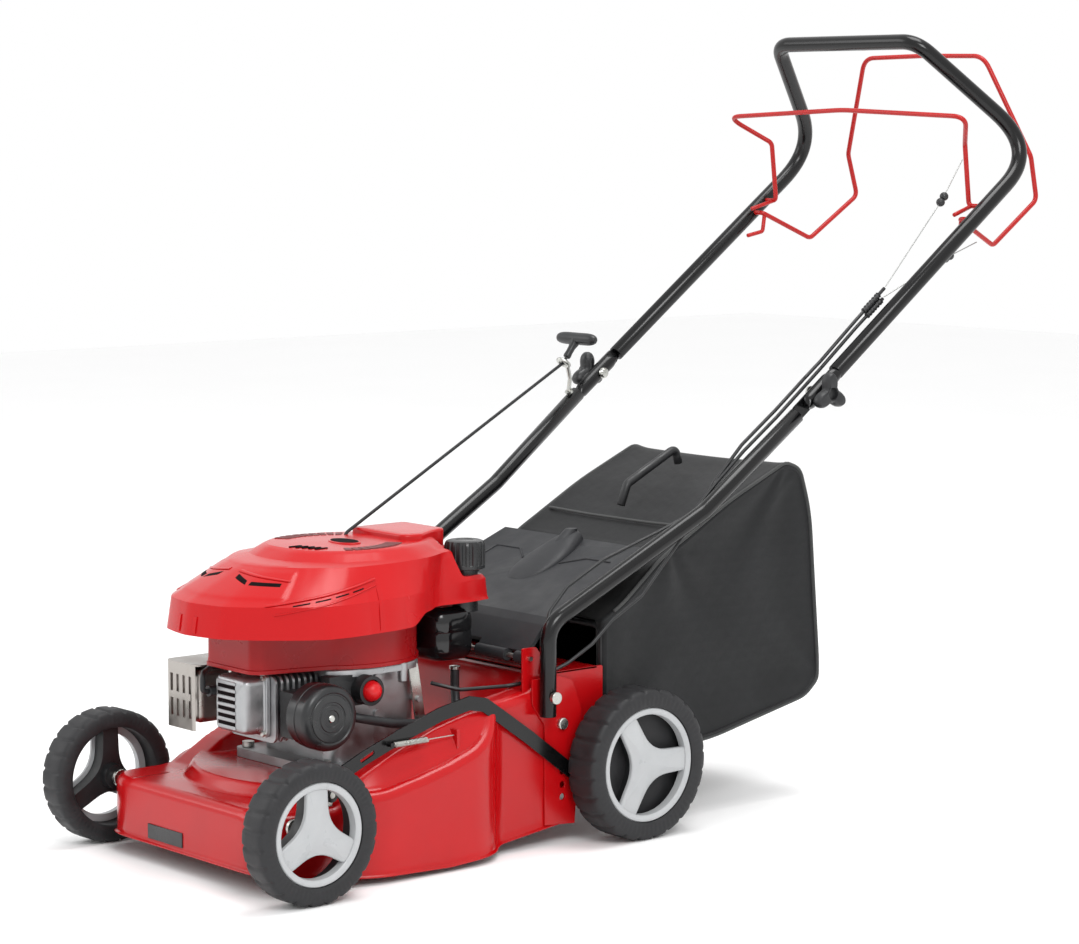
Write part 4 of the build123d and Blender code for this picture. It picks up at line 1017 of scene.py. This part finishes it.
flange_line = frame_outline(-27.8, 51.8, 168.2, 249.8, 9)
box_line = frame_outline(-23.5, 47.5, 172.5, 245.5, 11)
rocker_rings = [at_height(line, y) for line, y in
                ((flange_line, -475.4), (flange_line, -480.2), (shrunk(flange_line, 0.8), -481),
                 (shrunk(box_line, -1.5), -481.2), (box_line, -482.5), (shrunk(box_line, 1.2), -500),
                 (shrunk(box_line, 1.8), -504), (shrunk(box_line, 3.2), -507),
                 (shrunk(box_line, 5.6), -508.8), (shrunk(box_line, 9), -509.4))]
moulded("rocker_cover_casting", rocker_rings, seat((0, 0, 0), "Y"), "chassis", CAST,
        ("rocker_cover",), 32)
# The black floor between the ribs is painted shade in the recess.
moulded("rocker_rib_recess", pillow(frame_outline(-13, 24, 180, 238, 4), -508.6, -509.8, -0.2),
        seat((0, 0, 0), "Y"), "chassis", VENT_SHADE_AND_BADGE_BLACK, (), 30)
for k in range(7):
    z = 180.4 + 9.4 * k
    bar = frame_outline(-14.5, 25.5, z - 2.3, z + 2.3, 2)
    rib = [at_height(shrunk(bar, cut), y) for cut, y in ((0, -508.6), (0, -510.2), (0.7, -510.9))]
    moulded(f"rocker_rib_{k + 1}", rib, seat((0, 0, 0), "Y"), "chassis", CAST,
            (), 30)
for k, (x, z) in enumerate([(-22.5, 173.5), (46.5, 173.5), (46.5, 244.5), (-22.5, 244.5)]):
    hex_bolt(f"rocker_bolt_{k + 1}", (x, -480.3, z), "Y", 3.6, -4.5)

# ---- Spark plug, silencer and carburettor ----------------------------------------------
# A boot and lead of black silicone, a welded silencer behind a pressed guard with two rows
# of slots, and a black moulded carburettor body with the primer's socket.
BOOT = finish("moulded_silicone_boot", "1d1e20", "141517", 0.45, 25, 1.4, 0.04)
SILENCER = finish("plated_silencer_sheet", "bdb9b4", "97918b", 0.36, 25, 1.5, 0.04, [("Metallic", 0.95)])
CARB_BLACK = finish("moulded_carburettor_nylon", "1f2022", "141516", 0.5, 20, 1.0, 0.07)
for node, look, slot, edge in (("spark_plug", BOOT, "black_rubber", 0.8),
                               ("spark_lead", BOOT, "black_rubber", 0.0),
                               ("muffler", SILENCER, "silencer_steel", 1.0),
                               ("muffler_guard", SILENCER, "silencer_steel", 0.4),
                               ("carburettor", CARB_BLACK, "black_plastic", 1.2)):
    dressed(node, look, edge)
guard_bar = frame_outline(-136, -90, 198, 207, 1)
moulded("muffler_guard_bar", [at_height(guard_bar, y) for y in (-499.9, -498.3)],
        seat((0, 0, 0), "Y"), "chassis", SILENCER, (), 30)

# ---- Primer bulb -----------------------------------------------------------------------
# A soft moulded bulb, pressed three times before starting. Bright red rubber.
RED_RUBBER = finish("soft_red_rubber_bulb", "d3141b", "c01017", 0.3, 12, 0.8, 0.03,
                    [("Specular IOR Level", 0.4)])
moulded("primer_bulb_dome", discs([(110.6, 12.5), (111, 14), (114, 14), (114.6, 13.2), (118, 13.3),
                                   (122, 12.6), (126, 10.6), (129, 7.6), (130.6, 4), (131, 1.2)], 64),
        seat((0, -366, 225), "X"), "primer", RED_RUBBER, ("primer_bulb",), 40)

# ---- Air filter ------------------------------------------------------------------------
# A round black cover with turned rings in its face and a grip band on its rim, held over
# the foam by one screw.
BLACK_ABS = finish("moulded_black_abs", "232426", "161718", 0.34, 30, 1.1, 0.05)
filter_seat = seat((0, -445, 202), "X")
dressed("air_filter_base", BLACK_ABS, 0.8)
dressed("air_filter_element", BOOT, 0.5)
moulded("air_filter_cover_moulding",
        discs([(112.4, 40), (112.5, 42), (118, 42), (118.5, 41.2), (120, 41.2), (120.5, 42),
               (132, 42), (135.5, 41.2), (138.5, 39.2), (140.4, 36.2), (141.3, 33), (140.2, 31.6),
               (140.0, 30.4), (140.9, 29.4), (141.0, 21), (140.2, 20.2), (140.2, 17.6),
               (141.2, 16.8), (141.3, 11), (140.3, 10.2), (140.2, 3)], 128),
        filter_seat, "chassis", BLACK_ABS, ("air_filter_cover",), 28)
moulded("air_filter_screw", discs([(139, 4.6), (141, 4.6), (141.9, 3.6), (141.9, 1.2)], 40),
        filter_seat, "chassis", ZINC_BOLT, (), 30)

# ---- Fuel tank and cap -----------------------------------------------------------------
# A blow moulded tank with full, glossy corners behind the engine. Its ringed neck comes up
# through the cover's well and takes a knurled cap.
TANK = finish("blown_black_polyethylene", "141416", "0a0a0b", 0.16, 60, 5, 0.08)
tank_plan = round_plan([(-22, -226), (74, -226), (74, -158), (-22, -158)], [24] * 4, 160)
tank_rings = [(238, 15), (238.8, 9.5), (241.5, 5), (246, 1.8), (252, 0.4), (262, 0.0), (272, 0.5),
              (276, 1.4), (279, 0.4), (290, 0.0), (298, 1.4), (304, 5), (308.6, 12)]
moulded("fuel_tank_blown", [at_height(shrunk(tank_plan, cut), z) for z, cut in tank_rings],
        in_place, "chassis", TANK, ("fuel_tank",), 30)
neck = [(300, 17), (352, 17), (352.5, 18.8), (355.5, 18.8), (356, 17.4), (358, 17.4), (358.5, 18.8),
        (361, 18.8), (361.5, 17), (383.6, 17), (384, 16)]
moulded("filler_neck", discs(neck, 96), seat((*CAP, 0), "Z"), "chassis", BLACK_ABS,
        (), 30)


def knurl(turn):
    """Eighteen flat ribs round the cap's grip."""
    return 1 - 0.055 * (0.5 + 0.5 * np.tanh(6 * np.cos(18 * turn)))


cap_rings = discs([(356.2, 25), (357, 26.6), (361, 26.8)], 360)
cap_rings += discs([(362.5, 27), (386, 27), (390, 26)], 360, knurl)
cap_rings += discs([(392.6, 24.2), (393.8, 21), (393.9, 12), (393.2, 11), (393.2, 2)], 360)
moulded("fuel_cap_knurled", cap_rings, seat((*CAP, 0), "Z"), "fuel_cap", BLACK_ABS,
        ("fuel_cap",), 28)

# ---- Hoses, belt and brake lever -------------------------------------------------------
# A soft fuel hose with a wire clip, the drive belt under the deck, and the engine brake's
# bent steel lever at the side of the crankcase.
HOSE_RUBBER = finish("extruded_rubber_hose", "2c2d2f", "1f2022", 0.5, 30, 1.5, 0.04)
dressed("fuel_hose", HOSE_RUBBER, 0.0)
dressed("drive_belt", HOSE_RUBBER, 0.3)
dressed("brake_lever", ZINC, 0.5)
moulded("hose_clip", discs([(228, 7), (228.3, 7.6), (232, 7.6), (232.3, 7)], 40),
        seat((46, -175, -6), "Z"), "chassis", ZINC, (), 30)

# ---- Crankshaft, flywheel, starter and blade -------------------------------------------
# The turning set inside the engine and under the deck: a ground shaft, a cast flywheel with
# fan vanes, the starter's pulley, and the blade on its adapter.
GROUND = finish("ground_steel", "b5b5b3", "8f8f8d", 0.26, 18, 0.7, 0.015, [("Metallic", 1.0)])
BLADE_STEEL = finish("oiled_blade_steel", "8a8987", "5f5e5c", 0.4, 40, 2.0, 0.05, [("Metallic", 0.95)])
for node, look, slot, edge in (("crankshaft", GROUND, "plated_steel", 0.4),
                               ("flywheel", CAST, "cast_alloy", 0.5),
                               ("starter_pulley", BLACK_ABS, "black_plastic", 0.4),
                               ("blade_adapter", CAST, "cast_alloy", 0.5),
                               ("blade", BLADE_STEEL, "plated_steel", 0.4),
                               ("blade_bolt", ZINC, "plated_steel", 0.5)):
    dressed(node, look, edge)

# ---- Drive, axles and height setting ---------------------------------------------------
# Bent bar axles swing in moulded bearings; a flat black link joins them on the left, with a
# tension spring to the deck. The gearbox turns a splined shaft between the rear wheels.
for node, look, slot, edge in (("gearbox", CAST, "cast_alloy", 1.0),
                               ("gearbox_pulley", GROUND, "plated_steel", 0.4),
                               ("drive_shaft", GROUND, "plated_steel", 0.3),
                               ("front_axle", ZINC, "plated_steel", 0.4),
                               ("rear_axle", ZINC, "plated_steel", 0.4),
                               ("height_knob", BLACK_ABS, "black_plastic", 1.0),
                               ("axle_bearings", BLACK_ABS, "black_plastic", 0.8),
                               ("height_link", BLACK_ENAMEL, "black_tube", 0.5)):
    dressed(node, look, edge)
COIL_TURNS, COIL_R = 26, 3.3
coil = np.linspace(0, 1, 700)
swirl = 2 * math.pi * COIL_TURNS * coil
spring = np.column_stack([186 + COIL_R * np.cos(swirl), -383 + 52 * coil,
                          168 + 0.5 * coil + COIL_R * np.sin(swirl)])
hook = np.column_stack([np.full(20, 186.0), np.linspace(-330, -287.5, 20),
                        np.linspace(168.6, 169, 20)])
swept("link_spring_coil", np.concatenate([spring, hook]), 0.75, "chassis", ZINC,
      ("link_spring",), 8)

# ---- Brackets, bolts and badge ---------------------------------------------------------
# Pressed cheeks that carry the handle and the rear axle, their plated bolts, and a plain
# badge plate on the nose.
dressed("rear_brackets", RED_ENAMEL, 0.7)
dressed("chassis_bolts", ZINC_BOLT, 0.6)
dressed("blank_badge", BLACK_ABS, 0.6)

# ---- Starter rope, guide and grip ------------------------------------------------------
# A braided cord runs from the cover to a wire eye on the handle and ends in a T grip, whose
# bar is full in the middle and tapers to round ends.
ROPE = finish("braided_black_cord", "1b1c1e", "0f1011", 0.7, 6, 0.9, 0.12)
dressed("starter_rope", ROPE, 0.0)
dressed("rope_guide", ZINC, 0.2)
EYE, PULL = np.array([-222.0, 241.0, 590.0]), np.array([0.0, 0.6, 0.8])
grip_at = EYE + PULL * 42
swept("starter_grip_stem", [EYE + PULL * d for d in (9, 12, 18, 26, 34, 41)], 7, "starter_grip",
      BLACK_NYLON, ("starter_grip",), 32, [0.72, 0.8, 0.72, 0.75, 1.0, 1.25])
reach = np.linspace(-41.6, 41.6, 25)
taper = np.sqrt(np.clip(1 - (np.abs(reach) / 43) ** 6, 0.1, 1))
swept("starter_grip_bar", [grip_at + np.array([u, 0, 0]) for u in reach], 9, "starter_grip",
      BLACK_NYLON, (), 40, taper, 0.3)

# ---- Rear flap -------------------------------------------------------------------------
# A grained polypropylene door over the outlet, hung on a rod with a spring. Raised ribs
# stiffen its slope.
FLAP_PP = finish("grained_flap_polypropylene", "2a2b2e", "1e1f21", 0.5, 40, 1.0, 0.08,
                 [("Specular IOR Level", 0.35)])
dressed("rear_flap", FLAP_PP, 1.2)
dressed("flap_rod", ZINC, 0.0)
FLAP_FOOT_Y, FLAP_FOOT_Z = -106, 297
slope = math.atan2(370 - FLAP_FOOT_Z, 78 - FLAP_FOOT_Y)


def on_flap(p):
    """Carries (across, up the slope, off the face) to the machine."""
    return np.column_stack([p[:, 0],
                            FLAP_FOOT_Y + p[:, 1] * math.cos(slope) - p[:, 2] * math.sin(slope),
                            FLAP_FOOT_Z + p[:, 1] * math.sin(slope) + p[:, 2] * math.cos(slope)])


for name, run in (("left", [(36, 128), (70, 150), (118, 150)]),
                  ("right", [(-120, 40), (-120, 150), (-70, 150), (-40, 128)])):
    line = np.array([(x, up, 0.2) for x, up in run], float)
    swept(f"flap_bead_{name}", on_flap(bends(line, [6] * (len(run) - 2), 6)), 1.5, "rear_flap",
          FLAP_PP, (), 10)
scoop = []
for share in np.linspace(0.02, 1, 20):
    half = 11 + 23 * math.sin(math.pi * share ** 0.8) ** 0.8
    rise = 16.5 * min(1, 1.25 * share) ** 0.7 * (1 if share < 0.99 else 0.8)
    a = np.linspace(0, math.pi, 25)
    arch = np.column_stack([half * np.cos(a), np.full(25, 72 + 126 * share),
                            rise * np.sin(a) ** 0.8 - 1])
    scoop.append(np.concatenate([arch, arch[::-1] * [1, 1, 0] + [0, 0, -2]]))
moulded("flap_scoop", scoop, on_flap, "rear_flap", FLAP_PP, (), 40)

# ---- Floor, lights and camera ----------------------------------------------------------
# A nearly white floor in white surroundings, with three large soft lights from the front and
# above. A long lens looks slightly down on the machine from its front left corner.
floor_mesh = bpy.data.meshes.new("floor")
floor_mesh.from_pydata([(-8, -8, 0), (8, -8, 0), (8, 8, 0), (-8, 8, 0)], [], [(0, 1, 2, 3)])
floor = bpy.data.objects.new("floor", floor_mesh)
floor_mesh.materials.append(finish("pale_floor", "fbfbfb", "f8f8f8", 0.7, 400, 3, 0.01))
bpy.context.collection.objects.link(floor)

world = bpy.data.worlds.new("studio")
bpy.context.scene.world = world
world.use_nodes = True
world.node_tree.nodes["Background"].inputs["Color"].default_value = (1, 1, 1, 1)
world.node_tree.nodes["Background"].inputs["Strength"].default_value = 1.0


def softbox(name, place, aim, size, power):
    """A square area light that looks from its place at the aim point."""
    data = bpy.data.lights.new(name, "AREA")
    data.energy, data.size = power, size
    lamp = bpy.data.objects.new(name, data)
    lamp.location = place
    lamp.rotation_euler = (Vector(aim) - Vector(place)).to_track_quat("-Z", "Y").to_euler()
    bpy.context.collection.objects.link(lamp)


softbox("key", (3.2, -1.6, 3.0), (0, 0, 0.4), 1.5, 70)
softbox("fill", (-2.6, -3.0, 2.4), (0, 0, 0.4), 2.2, 35)
softbox("top", (0.3, 0.3, 3.4), (0, 0, 0.3), 1.6, 50)

bpy.context.scene.view_settings.view_transform = "Standard"
CAMERA_PLACE = np.array([3286.1, -2750.8, 939.9])
CAMERA_AZIMUTH, CAMERA_PITCH = math.radians(49.974), math.radians(6.306)
camera_data = bpy.data.cameras.new("camera")
camera_data.lens, camera_data.sensor_width = 106.36, 36.0
camera = bpy.data.objects.new("camera", camera_data)
look = Vector((-math.sin(CAMERA_AZIMUTH) * math.cos(CAMERA_PITCH),
               math.cos(CAMERA_AZIMUTH) * math.cos(CAMERA_PITCH), -math.sin(CAMERA_PITCH)))
camera.rotation_euler = look.to_track_quat("-Z", "Y").to_euler()
camera.location = (CAMERA_PLACE + AT) / 1000
bpy.context.collection.objects.link(camera)
bpy.context.scene.camera = camera
